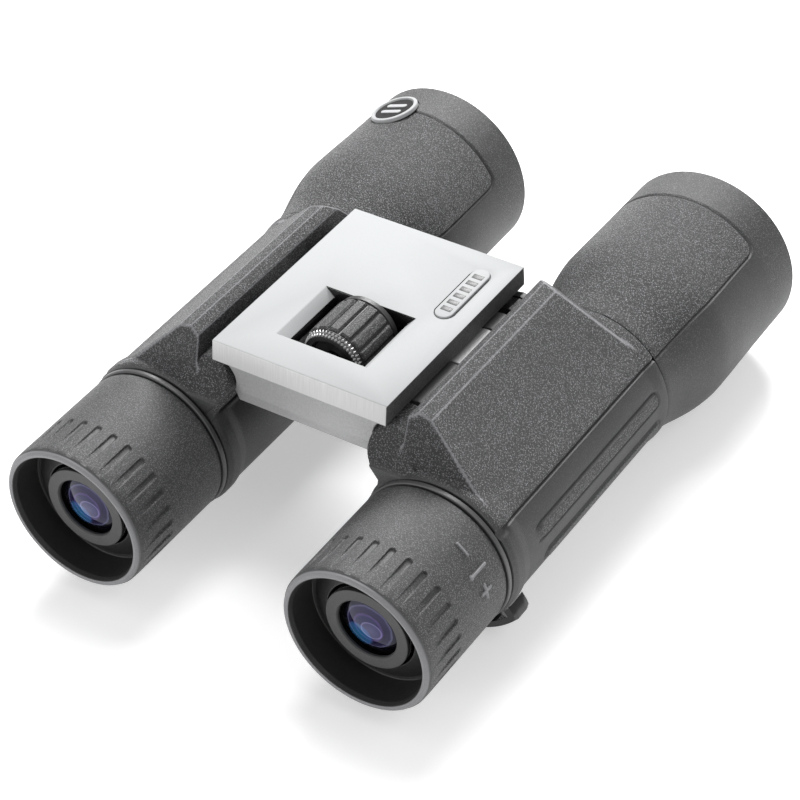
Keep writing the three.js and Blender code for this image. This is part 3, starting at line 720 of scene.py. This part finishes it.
# ---- focus wheel
def focus_wheel():
    """A drum with a knurled rear chamfer, sixteen grained lands and a thin front flange."""
    rear, front, rim = WHEEL["rear"], WHEEL["front"], WHEEL["rim"]
    drum = turned("drum", [
        (1.95, rear + 1.2), (4.6, rear + 1.2), (5.0, rear + 0.1), (6.1, rear, 0.2), (6.85, rear + 1.3, 0.15),
        (6.6, rear + 1.6, 0.1), (6.6, front - 1.3, 0.1), (7.0, front - 1.1), (7.0, front), (1.95, front),
    ], DARK_PLASTIC, corner=0.15)
    pitch = 2 * math.pi / WHEEL["lands"]
    half, start, end = pitch * 0.43, rear + 1.75, front - 1.35
    angles = np.linspace(-half, half, 15)
    ys = samples(start, end, 0.9, (start, start + 0.6, 0.12), (end - 0.6, end, 0.12))
    away = pad_distance(angles[:, None] * rim, ys[None, :], half * rim, start, end, 0.35)
    top = 6.75 + (rim - 6.75) * rise(0.02, -0.42, away)
    land = pad("land", angles, ys, top, np.full(top.shape, 6.45), CUP_RUBBER)
    copies(land, WHEEL["lands"], CUP_RUBBER, turn=pitch)
    paint(land, "grain", np.full(len(land.data.vertices), 0.75))
    smooth(land)
    step = 2 * math.pi / WHEEL["teeth"]
    rows = []
    for row in (0, 1):
        y, r = rear + 0.35 + 0.6 * row, 6.22 + 0.33 * row
        wide, long, high = r * math.tan(step / 2) * 0.96, 0.46, 0.3
        points = [(r, y - long, 0), (r + 0.04, y, wide), (r + 0.3, y + long, 0), (r + 0.04, y, -wide),
                  (r + high, y - 0.05, 0), (r - 0.4, y, 0)]
        faces = [(0, 1, 4), (1, 2, 4), (2, 3, 4), (3, 0, 4), (1, 0, 5), (2, 1, 5), (3, 2, 5), (0, 3, 5)]
        tooth = new_object("tooth", points, faces, BLACK_ALLOY)
        tidy_mesh(tooth)
        tooth.data.transform(Matrix.Rotation(step / 2 * row, 4, "Y"))
        rows.append(copies(tooth, WHEEL["teeth"], KNURL, turn=step))
    knurl = merged("knurl", rows)
    for obj in (drum, land, knurl):
        obj.data.transform(Matrix.Translation((0, 0, WHEEL_W)))
    settle(drum, "wheel_drum", 0, "focus_wheel", ["focus_wheel_core"])
    settle(land, "wheel_lands", 0, "focus_wheel", ["focus_wheel_grip"])
    settle(knurl, "wheel_knurl", 0, "focus_wheel")




# ---- barrel body
def flat_radius(angle, facing, distance):
    """Distance from the axis, at each angle, to a flat that faces `facing` degrees."""
    lean = np.cos(angle - math.radians(facing))
    return np.where(lean > 0.05, distance / np.maximum(lean, 0.05), 1000.0)


def soft_min(a, b, blend=0.45):
    """The smaller of two heights, with the crest where they meet eased over."""
    share = np.clip(0.5 + 0.5 * (b - a) / blend, 0, 1)
    return b + (a - b) * share - blend * share * (1 - share)


def plane_radius(angle, y, a, b, c):
    """Distance from the axis, at each angle and y, to the plane through three (u, y, w) points."""
    normal = np.cross(np.subtract(b, a), np.subtract(c, a))
    if normal[2] < 0:
        normal = -normal
    lean = normal[0] * np.cos(angle) + normal[2] * np.sin(angle)
    reach = float(np.dot(normal, a)) - normal[1] * y
    return np.where(lean > 1e-3, reach / np.maximum(lean, 1e-3), 1000.0)


TUBE_LINE = ((29, 16.5), (30.2, 17), (32.6, 17), (35.0, 16.5), (84.5, 16.5), (87, 16.9), (89, 16.9))
RIB_ROWS = ((12.0, 39.3, 84.6), (-14.0, 41.9, 85.1))
EDGE_GROOVE = 36.9
INNER_GROOVE = 143.0
THUMB = {"angle": -95.0, "half": 9.0, "rear": 42.0, "front": 82.0}
TUBE_ARC, RIB_ARC, CUP_ARC, HOOD_ARC = 0.288, 0.293, 0.2845, 0.356     # millimetres in one degree round each
# The ridge's long faces: the way each one faces, in degrees, and its distance from the optical axis.
RIDGE_TOP = ((45.78, 16.3), (74.17, 24.44), (124.2, 26.33))
RIDGE_WALL = (177.25, 9.974)
RIDGE_ROOT = ((150.3, 17.975), (170.02, 15.175))
NEAR_FACE = ((-3.86, 34.6, 26.5), (8.1, 31.55, 14.85), (-6.0, 31.0, 16.4))
FAR_FACE = ((-3.86, 79.7, 26.5), (6.6, 84.5, 16.3), (-8.9, 85.1, 22.7))


def ridge_radius(angle, y, blend):
    """The ridge that rises to the hinge: four long faces between two sloping ends."""
    top = flat_radius(angle, *RIDGE_TOP[0])
    for face in RIDGE_TOP[1:]:
        top = soft_min(top, flat_radius(angle, *face), blend)
    wall = soft_min(top, flat_radius(angle, *RIDGE_WALL), blend)
    root = np.minimum(top, np.minimum(*(flat_radius(angle, *face) for face in RIDGE_ROOT)))
    ends = soft_min(plane_radius(angle, y, *NEAR_FACE), plane_radius(angle, y, *FAR_FACE), blend)
    return soft_min(np.maximum(wall, root), ends, blend * 2.4)


def ear_radius(angle, y):
    """The round ear that holds the hinge pin, with a sloping rear face and a web down to the tube."""
    off = angle - HINGE_ANGLE
    inside = np.clip(EAR["radius"] ** 2 - (HINGE_REACH * np.sin(off)) ** 2, 0, None)
    disc = np.where(inside > 0, HINGE_REACH * np.cos(off) + np.sqrt(inside), 0.0)
    web = np.minimum(EAR["web"] / np.maximum(np.abs(np.sin(off)), 1e-3), HINGE_REACH)
    slope = (13.6 + (y - ARMOUR["rear"]) * 1.9) / np.maximum(np.sin(angle), 0.05)
    ear = np.where(np.cos(off) > 0, np.maximum(disc, web), 0.0)
    return np.where(y < EAR["front"], soft_min(ear, slope, 0.8), 0.0)


def armour_radius(angle, y):
    """The outside of the rubber body: a round tube, its ridge and its ear."""
    degrees = np.degrees(angle)
    tube = soft_curve(TUBE_LINE, y, 0.5)
    ridge = np.where((degrees > EDGE_GROOVE) & (degrees < 151), ridge_radius(angle, y, 0.45), 0.0)
    return np.maximum(tube, np.maximum(ridge, ear_radius(angle, y)))


def crest(angle, y):
    """1 along the crest lines of the ridge, where two of its faces meet: the mask of a painted highlight along
    the crests.
    """
    degrees = np.degrees(angle)
    ridge = ridge_radius(angle, y, 0.45)
    eased = ridge_radius(angle, y, 0.001) - ridge
    inside = (degrees > EDGE_GROOVE + 1) & (degrees < 118) & (y > 31.2) & (y < 86)
    inside = inside & (ridge > ear_radius(angle, y) + 0.3)
    return np.where(inside, rise(0.035, 0.1, eased), 0.0)


def rib_distance(degrees, y, centre, rear, front):
    return pad_distance((degrees - centre) * RIB_ARC, y, 1.45, rear, front, 0.9)


def thumb_distance(degrees, y):
    sideways = (degrees - THUMB["angle"]) * TUBE_ARC
    return pad_distance(sideways, y, THUMB["half"], THUMB["rear"], THUMB["front"], 4.0)


def armour_relief(angle, y):
    """Grooves, ribs and the small pocket, as a height over the plain surface."""
    degrees = np.degrees(angle)
    height = np.zeros(np.broadcast(angle, y).shape)
    along = rise(31.0, 32.5, y)
    height -= 0.55 * ridge_line((degrees - EDGE_GROOVE) * TUBE_ARC, 0.3) * along
    height -= 0.4 * ridge_line((degrees - INNER_GROOVE) * TUBE_ARC, 0.26) * along * (1 - rise(85, 87, y))
    pocket = pad_distance((degrees - 35.6) * 0.295, y, 1.0, 28.2, 32.2, 1.0)
    height -= 0.6 * rise(0.25, -0.6, pocket)
    for centre, rear, front in RIB_ROWS:
        away = rib_distance(degrees, y, centre, rear, front)
        height += 0.42 * rise(0.1, -0.4, away) - 0.34 * ridge_line(away - 0.42, 0.24)
    away = thumb_distance(degrees, y)
    height -= 0.35 * ridge_line(away, 0.3) + 0.5 * rise(0.0, -6.0, away)
    return height


def armour_grain(degrees, y):
    """Where the pebble grain shows on the body."""
    outer = rise(EDGE_GROOVE + 0.6, EDGE_GROOVE + 1.6, degrees)
    inner = 1 - rise(INNER_GROOVE - 1.6, INNER_GROOVE - 0.6, degrees)
    amount = outer * inner * rise(29.2, 30.2, y)
    for centre, rear, front in RIB_ROWS:
        amount = np.maximum(amount, 0.75 * rise(0.0, -0.4, rib_distance(degrees, y, centre, rear, front)))
    amount = np.maximum(amount, 0.9 * rise(0.0, -0.6, thumb_distance(degrees, y)))
    return np.maximum(amount, 0.12)


def armour(side, name):
    degrees = samples(-180, 180, 1.3, (-22, -6, 0.5), (4, 20, 0.5), (34.6, 39.4, 0.3), (39.8, 96.4, 0.5),
                      (96.6, 116.4, 0.3), (116.8, 145, 0.45))
    angles = np.radians(degrees)
    ys = samples(29.55, 87.8, 0.9, (29.55, 36, 0.2), (40.6, 42.2, 0.3), (78.5, 87.8, 0.25))
    grid_y = np.tile(ys, (len(angles), 1))
    radius = armour_radius(angles[:, None], grid_y) + armour_relief(angles[:, None], grid_y)
    first, last = radius[:, :1], radius[:, -1:]
    ones = np.ones_like(first)
    radius = np.hstack((ARMOUR["bore"] * ones, ARMOUR["bore"] * ones, first - 0.55, first - 0.16, radius,
                        last - 0.12, last - 0.4))
    front = ARMOUR["front"]
    rear = ARMOUR["rear"]
    grid_y = np.hstack((front * ones, rear * ones, rear * ones, (rear + 0.14) * ones, grid_y,
                        (front - 0.12) * ones, front * ones))
    obj = shell("body", angles, radius, grid_y, RUBBER)
    cuts = [rod(NOTCH, *HINGE_GAP, HINGE_U, HINGE_W, 80), hinge_web(7, *HINGE_GAP, 0, HINGE_REACH - 8)]
    combine(obj, cuts)
    combine(obj, [rod(PIN["bore"], PIN["rear"] - GAP, 43, HINGE_U, HINGE_W, 40)])
    at, y, reach = points_of(obj)
    paint(obj, "grain", np.where(reach > ARMOUR["bore"] + 0.2, armour_grain(at, y), 0.2))
    # Painted highlight along the ridge crests.
    paint(obj, "edge", np.where(reach > 15.5, crest(np.radians(at), y), 0) * 0.4)
    smooth(obj, 38)
    settle(obj, f"{name}_body", side, f"{name}_barrel", [f"{name}_armour"])


def chassis(side, name):
    """The stiff inner tube, with the barrel's two hinge knuckles."""
    c = CHASSIS
    tube = turned("tube", [(c["inner"], c["rear"]), (c["outer"], c["rear"]), (c["outer"], c["front"]),
                           (c["inner"], c["front"])], KNUCKLE_PAINT, corner=0.2)
    joined = []
    for span in BARREL_KNUCKLES:
        joined += [hinge_web(6, *span, 0, HINGE_REACH - 14.0), rod(KNUCKLE, *span, HINGE_U, HINGE_W)]
    combine(tube, joined, "UNION")
    combine(tube, [rod(PIN["bore"], 30, 75, HINGE_U, HINGE_W, 40), hinge_web(4.2, 73.2, 82.8, 2, HINGE_REACH)])
    soften(tube, 0.2, angle=45, flat_above=8.0)
    settle(tube, f"{name}_inner_tube", side, f"{name}_barrel", [f"{name}_chassis"])


def collar(side, name):
    ring = turned("collar", [(14.9, 27.6), (16.5, 27.6), (16.5, 28.7), (14.9, 28.7)], SMOOTH_RUBBER)
    settle(ring, f"{name}_collar", side, f"{name}_barrel", [f"{name}_eyepiece_collar"])


# ---- objective hood
HOOD_LINE = ((88.6, 16.6), (91, 16.75), (94, 17.35), (98, 18.6), (102, 19.7), (106.5, 20.4), (113, 20.35),
             (120, 20.2), (136.4, 20.1), (138, 20.05))
PANEL = {"low": 38.8, "high": 157.8, "front": 126.8, "corner": 2.6}


def panel_distance(degrees, y):
    """Distance to the line that frames the grained panel, below 0 inside it."""
    middle = (PANEL["low"] + PANEL["high"]) / 2
    half = (PANEL["high"] - PANEL["low"]) / 2 * HOOD_ARC
    sideways = (degrees - middle) * HOOD_ARC
    sideways = sideways + np.where(sideways < 0, rise(103, 88, y) * 1.1, 0.0)
    return pad_distance(sideways, y, half, 60.0, PANEL["front"], PANEL["corner"])


def hood_grain_and_highlight(degrees, y):
    inside = rise(0.1, -0.5, panel_distance(degrees, y))
    # The grain lightens the rubber and grows towards the top at the rim and the flare: a painted highlight
    # there.
    top = np.cos(np.radians(degrees - 98)) * 0.5 + 0.5
    outside = 0.5 * top * rise(124, 128, y) + 0.35 * (1 - rise(100, 106, y)) * top
    return np.maximum(np.maximum(inside, outside), 0.14)


def hood(side, name):
    """The flared rubber hood, with its panel line and a plain rounded rim."""
    degrees = samples(-180, 180, 1.5, (36.0, 42.4, 0.32), (155.0, 160.2, 0.32), (60, 82, 0.8))
    angles = np.radians(degrees)
    ys = samples(89.0, 136.0, 0.9, (124.2, 129.0, 0.28))
    grid_y = np.tile(ys, (len(angles), 1))
    radius = soft_curve(HOOD_LINE, grid_y, 2.2)
    away = panel_distance(degrees[:, None], grid_y)
    radius = radius - 0.42 * ridge_line(away, 0.3)
    outline = rounded([(18.1, 128.5, 0.2), (18.9, 128.5, 0), (18.9, 107.5, 0), (HOOD["inner"], 95.0, 0),
                       (HOOD["inner"], 88.6, 0.2)], 0.2)
    tail = rounded([(20.1, 130.0, 0), (20.1, 136.6, 0.5), (19.6, LENGTH, 0.35), (19.0, LENGTH, 0.3),
                    (18.6, 136.4, 0.3), (18.1, 129.5, 0)], 0.3)[1:-1]
    radius, grid_y = framed(radius, grid_y, [(16.45, HOOD["rear"])], [*tail, *outline])
    obj = shell("hood", angles, radius, grid_y, RUBBER)
    if side < 0:
        combine(obj, [seat_badge(rod(BADGE["radius"] + GAP, BADGE["seat"], 24))])
    at, y, reach = points_of(obj)
    inner_skin = np.interp(y, [88, 95, 107, 128, 137], [16, 16.2, 19.3, 19.3, 19.4])
    outside = (reach > 16.2) & (reach > inner_skin) & (y < 136.5)
    paint(obj, "grain", np.where(outside, hood_grain_and_highlight(at, y), 0.1))
    smooth(obj, 38)
    settle(obj, f"{name}_hood", side, f"{name}_barrel", [f"{name}_objective_hood"])


def seat_badge(obj):
    """Turns a badge piece from the Y axis to its leaning place on the hood."""
    place = Matrix.Rotation(math.radians(BADGE["lean"]), 4, "Y") @ Matrix.Translation((0, BADGE["y"], 0))
    obj.data.transform(place @ Matrix.Rotation(math.radians(90), 4, "X") @ Matrix.Diagonal((1, 1, -1, 1)))
    tidy_mesh(obj)
    return obj


def badge():
    """A round badge: bright rim, dark field and a plain pair of bars."""
    r, seat, face = BADGE["radius"], BADGE["seat"] + GAP, BADGE["face"]
    floor = face - 0.45
    rim = turned("rim", [(0, seat), (r, seat), (r, face - 0.1, 0.3), (r - 0.75, face, 0.25),
                         (r - 0.95, floor, 0.1), (0, floor)], SILVER, corner=0.15, sides=72)
    field = turned("field", [(0, floor - 0.05), (r - 1.0, floor - 0.05), (r - 1.0, face - 0.34),
                             (0, face - 0.28)], BLACK_PLASTIC, corner=0.08, sides=72)
    bars = []
    half, round_end = 2.1, 0.6
    for shift in (-1.25, 1.25):
        points = [(end * (half + round_end * math.cos(turn)), shift + end * round_end * math.sin(turn))
                  for end in (-1, 1) for turn in np.radians(np.linspace(-90, 90, 9))]
        bars.append(prism(points, face - 0.4, face - 0.12, SILVER))
    mark = merged("mark", bars)
    soften(mark, 0.06, segments=2)
    for obj, name, slot, replaced in ((rim, "badge_rim", "silver_plate", ["left_badge"]),
                                      (field, "badge_field", "black_plastic", []),
                                      (mark, "badge_bars", "silver_plate", [])):
        settle(seat_badge(obj), name, -1, "left_barrel", replaced)


def strap_lug():
    """A glossy loop for the strap, bowed out from the underside of the right barrel."""
    low, high, lip = -72.0, -36.0, 6.9
    degrees = samples(low, high, 1.5, (low, low + 9, 0.6), (high - 9, high, 0.6))
    ys = np.linspace(31, 36, 13)
    shape = np.broadcast_to(degrees[:, None], (len(degrees), len(ys)))
    ends = rise(0, 4.5, np.minimum(shape - low, high - shape))
    edge = np.minimum(ys - 31, 36 - ys)[None, :]
    top = 17.45 + 2.9 * ends ** 0.5 - 0.35 * (1 - rise(0, 1.0, edge))
    bottom = np.where((shape - low < lip) | (high - shape < lip), 17.3, 18.7)
    obj = pad("lug", np.radians(degrees), ys, top, bottom, BLACK_PLASTIC)
    settle(obj, "strap_loop", 1, "right_barrel", ["strap_lug"])


# ---- eyepiece
CUP_LINE = ((0, 16.15), (2.2, 16.3), (27.3, 16.3))


def cup_relief(angle, y, marks):
    """Flat-bottomed slots round the cup, clear at their front ends and fading towards the rim."""
    turn = 2 * math.pi / CUP_SLOTS
    off = (np.mod(angle - math.radians(SLOT_PHASE) + turn / 2, turn) - turn / 2) * 16.3
    away = pad_distance(off, y, 0.66, 0.8, 11.1, 0.64)
    height = -0.45 * rise(1.2, 8.5, y) * rise(0.12, -0.14, away)
    if marks:
        s = np.degrees(angle) * CUP_ARC
        index, plus = s - 29.8 * CUP_ARC, s - 14.0 * CUP_ARC
        dash = pad_distance(y - 20.65, s, 0.32, 41.8 * CUP_ARC, 53.6 * CUP_ARC, 0.3)
        line = pad_distance(index, y, 0.28, 18.4, 23.3, 0.28)
        dot = np.hypot(index, y - 18.4) - 0.5
        plus_long = pad_distance(plus, y, 0.32, 18.9, 22.3, 0.3)
        plus_wide = pad_distance(y - 20.6, plus, 0.32, -1.7, 1.7, 0.3)
        nearest = np.minimum.reduce([dash, line, dot, plus_long, plus_wide])
        height = height + 0.34 * rise(0.12, -0.1, nearest)
    return height


def eyecup(side, name, body):
    """A rubber eyecup with a rolled rim and a row of finger slots."""
    marks = side > 0
    pitch = 360 / CUP_SLOTS
    across = np.array([-6.0, -4.9, -3.9, -3.1, -2.85, -2.6, -2.35, -2.1, -1.4, -0.5])
    starts = SLOT_PHASE + pitch * np.arange(CUP_SLOTS)
    degrees = np.concatenate([starts + a for a in np.concatenate((across, -across))])
    if marks:
        degrees = np.concatenate((degrees, np.arange(8, 56, 0.36)))
    degrees = np.unique(np.round(np.mod(degrees + 180, 360) - 180, 2))
    degrees = degrees[np.append(np.diff(degrees) > 0.12, True)]
    angles = np.radians(degrees)
    fine = [(1.1, 9.9, 0.8), (9.9, 11.6, 0.17)] + ([(17.9, 23.7, 0.2)] if marks else [])
    ys = samples(1.1, 26.9, 1.0, *fine)[::-1]
    grid_y = np.tile(ys, (len(angles), 1))
    radius = soft_curve(CUP_LINE, grid_y, 0.8) + cup_relief(angles[:, None], grid_y, marks)
    rim = rounded([(16.1, 3, 0), (15.98, 0.5, 0.6), (15.4, 0.0, 0.35), (14.75, 0.25, 0.35), (14.4, 1.2, 0.4),
                   (14.4, 7.55, 0.25), (13.6, 7.6, 0.3), (9.6, 5.5, 0.2), (9.6, 10.2, 0), (13.5, 10.2, 0),
                   (13.5, 27.3, 0), (16.0, 27.3, 0.2), (16.3, 26.9, 0)], 0.2)[1:-1]
    radius, grid_y = framed(radius, grid_y, [], rim)
    obj = shell("cup", angles, radius, grid_y, CUP_RUBBER)
    at, y, reach = points_of(obj)
    grain = np.where(reach > 15.9, 0.7 * rise(0.4, 2.0, y), 0.3)
    grain = np.where((reach < 14.6) & (y > 2), 0.5, grain)
    paint(obj, "grain", grain)
    # Painted highlight round the rolled rim and, on the right cup, over the raised marks.
    bright = 0.4 * rise(1.1, 0.5, y) * rise(14.6, 14.9, reach)
    if marks:
        raised = reach - soft_curve(CUP_LINE, y, 0.8)
        bright = np.where((y > 17) & (y < 24), rise(0.08, 0.26, raised) * 0.42, bright)
    paint(obj, "edge", bright)
    # The inside of the cup takes the darker rubber: painted shade.
    obj.data.materials.append(CUP_INSIDE_SHADE)
    for face in obj.data.polygons:
        u, y, w = face.center
        if math.hypot(u, w) < 14.9 and y > 0.25:
            face.material_index = 1
    smooth(obj, 40)
    settle(obj, f"{name}_cup", side, body, [f"{name}_eyecup"])


def bulged(radius, y0, y1, rear, front, steps=14):
    """The outline of a round lens whose faces bulge by the given heights."""
    radii = np.linspace(0, radius, steps)
    behind = [(r, y0 - rear * (1 - (r / radius) ** 2), 0) for r in radii]
    ahead = [(r, y1 + front * (1 - (r / radius) ** 2), 0) for r in radii[::-1]]
    return behind + ahead


def eyepiece(side, name, body):
    housing = turned("housing", [
        (7.5, 5.35, 0.15), (9.1, 5.35), (9.1, 11.6), (13.1, 11.6), (13.1, 38), (11.2, 38), (11.2, 29),
        (9.8, 27), (9.8, 14), (7.5, 11)], BLACK_PLASTIC, corner=0.2)
    ring = turned("ring", [
        (6.5, 5.0, 0.1), (6.5, 4.5, 0.15), (6.75, 4.2, 0.1), (9.1, 4.2, 0.2), (9.1, 5.0, 0.1)], RING_PAINT,
        corner=0.1)
    centre = (side * OPTIC[0], 0.0, OPTIC[2])
    # The eye lens's colours are painted reflections.
    reflection_paint = painted_reflection_glass(f"{name}_eye_painted_reflections", centre, EYE_STOPS, 7.1, (0.045, 0.04, 0.075, 1), 0.0)
    lens = turned("eye_lens", bulged(7.1, 6.2, 9.4, 1.6, 1.0, 20), reflection_paint, sides=96, angle=60)
    field = turned("field_lens", bulged(9.4, 18, 22, 0.8, 1.4), GLASS, sides=48, angle=60)
    for piece, title, slot, node in (
            (housing, "eyepiece_tube", "black_plastic", "eyepiece_housing"),
            (ring, "lens_ring", "dark_plastic", "eye_lens_ring"),
            (lens, "eye_glass", "coated_glass", "eye_lens"),
            (field, "field_glass", "optical_glass", "field_lens")):
        settle(piece, f"{name}_{title}", side, body, [f"{name}_{node}"])


# ---- objective
def objective(side, name):
    body = f"{name}_objective"
    cell = turned("cell", [
        (12.5, 84), (13.1, 84), (13.1, 96.4, 0), (17.4, 110.5, 0), (17.4, 124.4), (16.6, 124.4),
        (16.6, 112.4, 0), (15.2, 112.4), (15.2, 108.6, 0), (12.5, 97, 0)], BLACK_ALLOY, corner=0.15)
    tube = turned("tube", [
        (13.7, 88.2), (15, 88.2), (15, 95.2, 0), (18.6, 107.7, 0), (18.6, 128.2), (17.8, 128.2),
        (17.8, 108.2, 0), (13.7, 95.6, 0)], BLACK_ALLOY, corner=0.2)
    centre = (side * OPTIC[0], 0.0, OPTIC[2])
    # The front lens's colours are painted reflections.
    reflection_paint = painted_reflection_glass(f"{name}_front_painted_reflections", centre, FRONT_STOPS, 16.3, (0.04, 0.03, 0.1, 1), 0.5)
    crown = turned("crown", bulged(16.3, 117.4, 120.2, 1.2, 1.3, 20), reflection_paint, angle=60)
    flint = turned("flint", bulged(16.3, 113, 115.8, -1.0, 0.01, 16), GLASS, angle=60)
    for piece, title, rides_on, slot, node in (
            (cell, "lens_cell", body, "black_alloy", "cell"),
            (tube, "front_tube", f"{name}_barrel", "black_alloy", "tube"),
            (crown, "front_glass", body, "coated_glass", "crown"),
            (flint, "inner_glass", body, "optical_glass", "flint"),
            (retaining_ring(), "retaining_ring", body, "dark_plastic", "ring")):
        settle(piece, f"{name}_{title}", side, rides_on, [f"{name}_objective_{node}"])


def retaining_ring():
    """A threaded ring with four notches for a spanner: one quarter, copied round."""
    degrees = samples(0, 90.001, 2.5, (41.0, 49.0, 1.0))
    degrees[-1] = 90.0
    inner, outer, rear, front, notch = 14.9, 16.3, 121.8, 124.0, 0.8
    low = ((degrees > 41.9) & (degrees < 48.1)).astype(float)
    points = rounded([(inner, rear), (outer, rear), (outer, front), (inner, front)], 0.15, 3)
    y = np.tile(points[:, 1], (len(degrees), 1))
    y = np.where(y > front - 0.5, y - notch * low[:, None], y)
    angles = np.radians(degrees)
    ring = shell("ring", angles, np.tile(points[:, 0], (len(degrees), 1)), y, DARK_PLASTIC, whole=False)
    copies(ring, 4, DARK_PLASTIC, turn=math.pi / 2)
    tidy_mesh(ring, 0.002)
    smooth(ring)
    return ring


# ---- what stays from the frame
def paint_frame_nodes():
    """Finishes for the frame's own nodes that stay in view."""
    finishes = {"focus_screw": STEEL, "focus_nut": BRASS, "focus_carriage": BLACK_ALLOY}
    for _, name in SIDES:
        finishes[f"{name}_focus_lever"] = BLACK_ALLOY
        finishes[f"{name}_prism_cage"] = DARK_PLASTIC
        finishes[f"{name}_roof_prism"] = GLASS
        finishes[f"{name}_half_prism"] = GLASS
    for node, finish in finishes.items():
        for slot in frame["nodes"][node].material_slots:
            slot.material = finish


# ---- studio
def area_light(name, size, power, place):
    """A soft box aimed at the middle of the object."""
    data = bpy.data.lights.new(name, "AREA")
    data.shape = "RECTANGLE"
    data.size, data.size_y = size
    data.energy = power
    light = bpy.data.objects.new(name, data)
    light.location = place
    light.rotation_euler = (Vector((0, 0, 0.02)) - Vector(place)).to_track_quat("-Z", "Y").to_euler()
    bpy.context.collection.objects.link(light)


def studio():
    """A pale sweep of floor, a white surround and four soft boxes."""
    reach = 12.0
    corners = [(-reach, -reach, 0), (reach, -reach, 0), (reach, reach, 0), (-reach, reach, 0)]
    floor = new_object("floor", corners, [(0, 1, 2, 3)], floor_finish())
    floor.data.transform(Matrix.Translation((0, 0, CAD_LOW[2] - 0.0002)))
    world = bpy.context.scene.world or bpy.data.worlds.new("surround")
    bpy.context.scene.world = world
    world.use_nodes = True
    sky = world.node_tree.nodes["Background"]
    sky.inputs["Color"].default_value = (1, 1, 1, 1)
    sky.inputs["Strength"].default_value = 0.47
    for name, size, power, place in (
            ("back_box", (0.34, 0.2), 6.8, (-0.19, 0.46, 0.47)),
            ("top_box", (0.3, 0.2), 2.4, (-0.08, 0.16, 0.75)),
            ("side_box", (0.4, 0.3), 0.9, (0.5, -0.05, 0.55)),
            ("front_box", (0.3, 0.12), 1.6, (-0.3, -0.62, 0.16))):
        area_light(name, size, power, place)
    bpy.context.scene.view_settings.view_transform = "Standard"


def floor_finish():
    finish, tree, shader, place = new_finish("pale_floor", roughness=0.7)
    cloud = noise(tree, place, 3.0, 2.0)
    feed(tree, shader, ramp(tree, cloud, (0.3, grey(0.74)), (0.7, grey(0.78))))
    shader.inputs["Emission Color"].default_value = (1, 1, 1, 1)
    shader.inputs["Emission Strength"].default_value = 0.42
    return finish


def camera():
    """The view from above the right eyecup, a little rolled."""
    place = Vector((0.24184, -0.33956, 0.36337))
    right = Vector((0.8353, 0.5474, -0.0513)).normalized()
    back = Vector((0.4477, -0.6231, 0.6413)).normalized()
    up = back.cross(right).normalized()
    right = up.cross(back)
    data = bpy.data.cameras.new("camera")
    data.lens = 118.82
    data.sensor_width = 36.0
    data.clip_start, data.clip_end = 0.01, 60.0
    obj = bpy.data.objects.new("camera", data)
    obj.matrix_world = Matrix.Translation(place) @ Matrix((right, up, back)).transposed().to_4x4()
    bpy.context.collection.objects.link(obj)
    bpy.context.scene.camera = obj


# ---- build
camera()
studio()
bridge_plate()
plate_mark()
bridge_frame()
bottom_cover()
hinge_pins()
focus_wheel()
for side, name in SIDES:
    armour(side, name)
    chassis(side, name)
    collar(side, name)
    hood(side, name)
    objective(side, name)
    eyecup(side, name, "diopter_ring" if side > 0 else "left_barrel")
    eyepiece(side, name, "right_eyepiece" if side > 0 else "left_barrel")
badge()
strap_lug()
paint_frame_nodes()
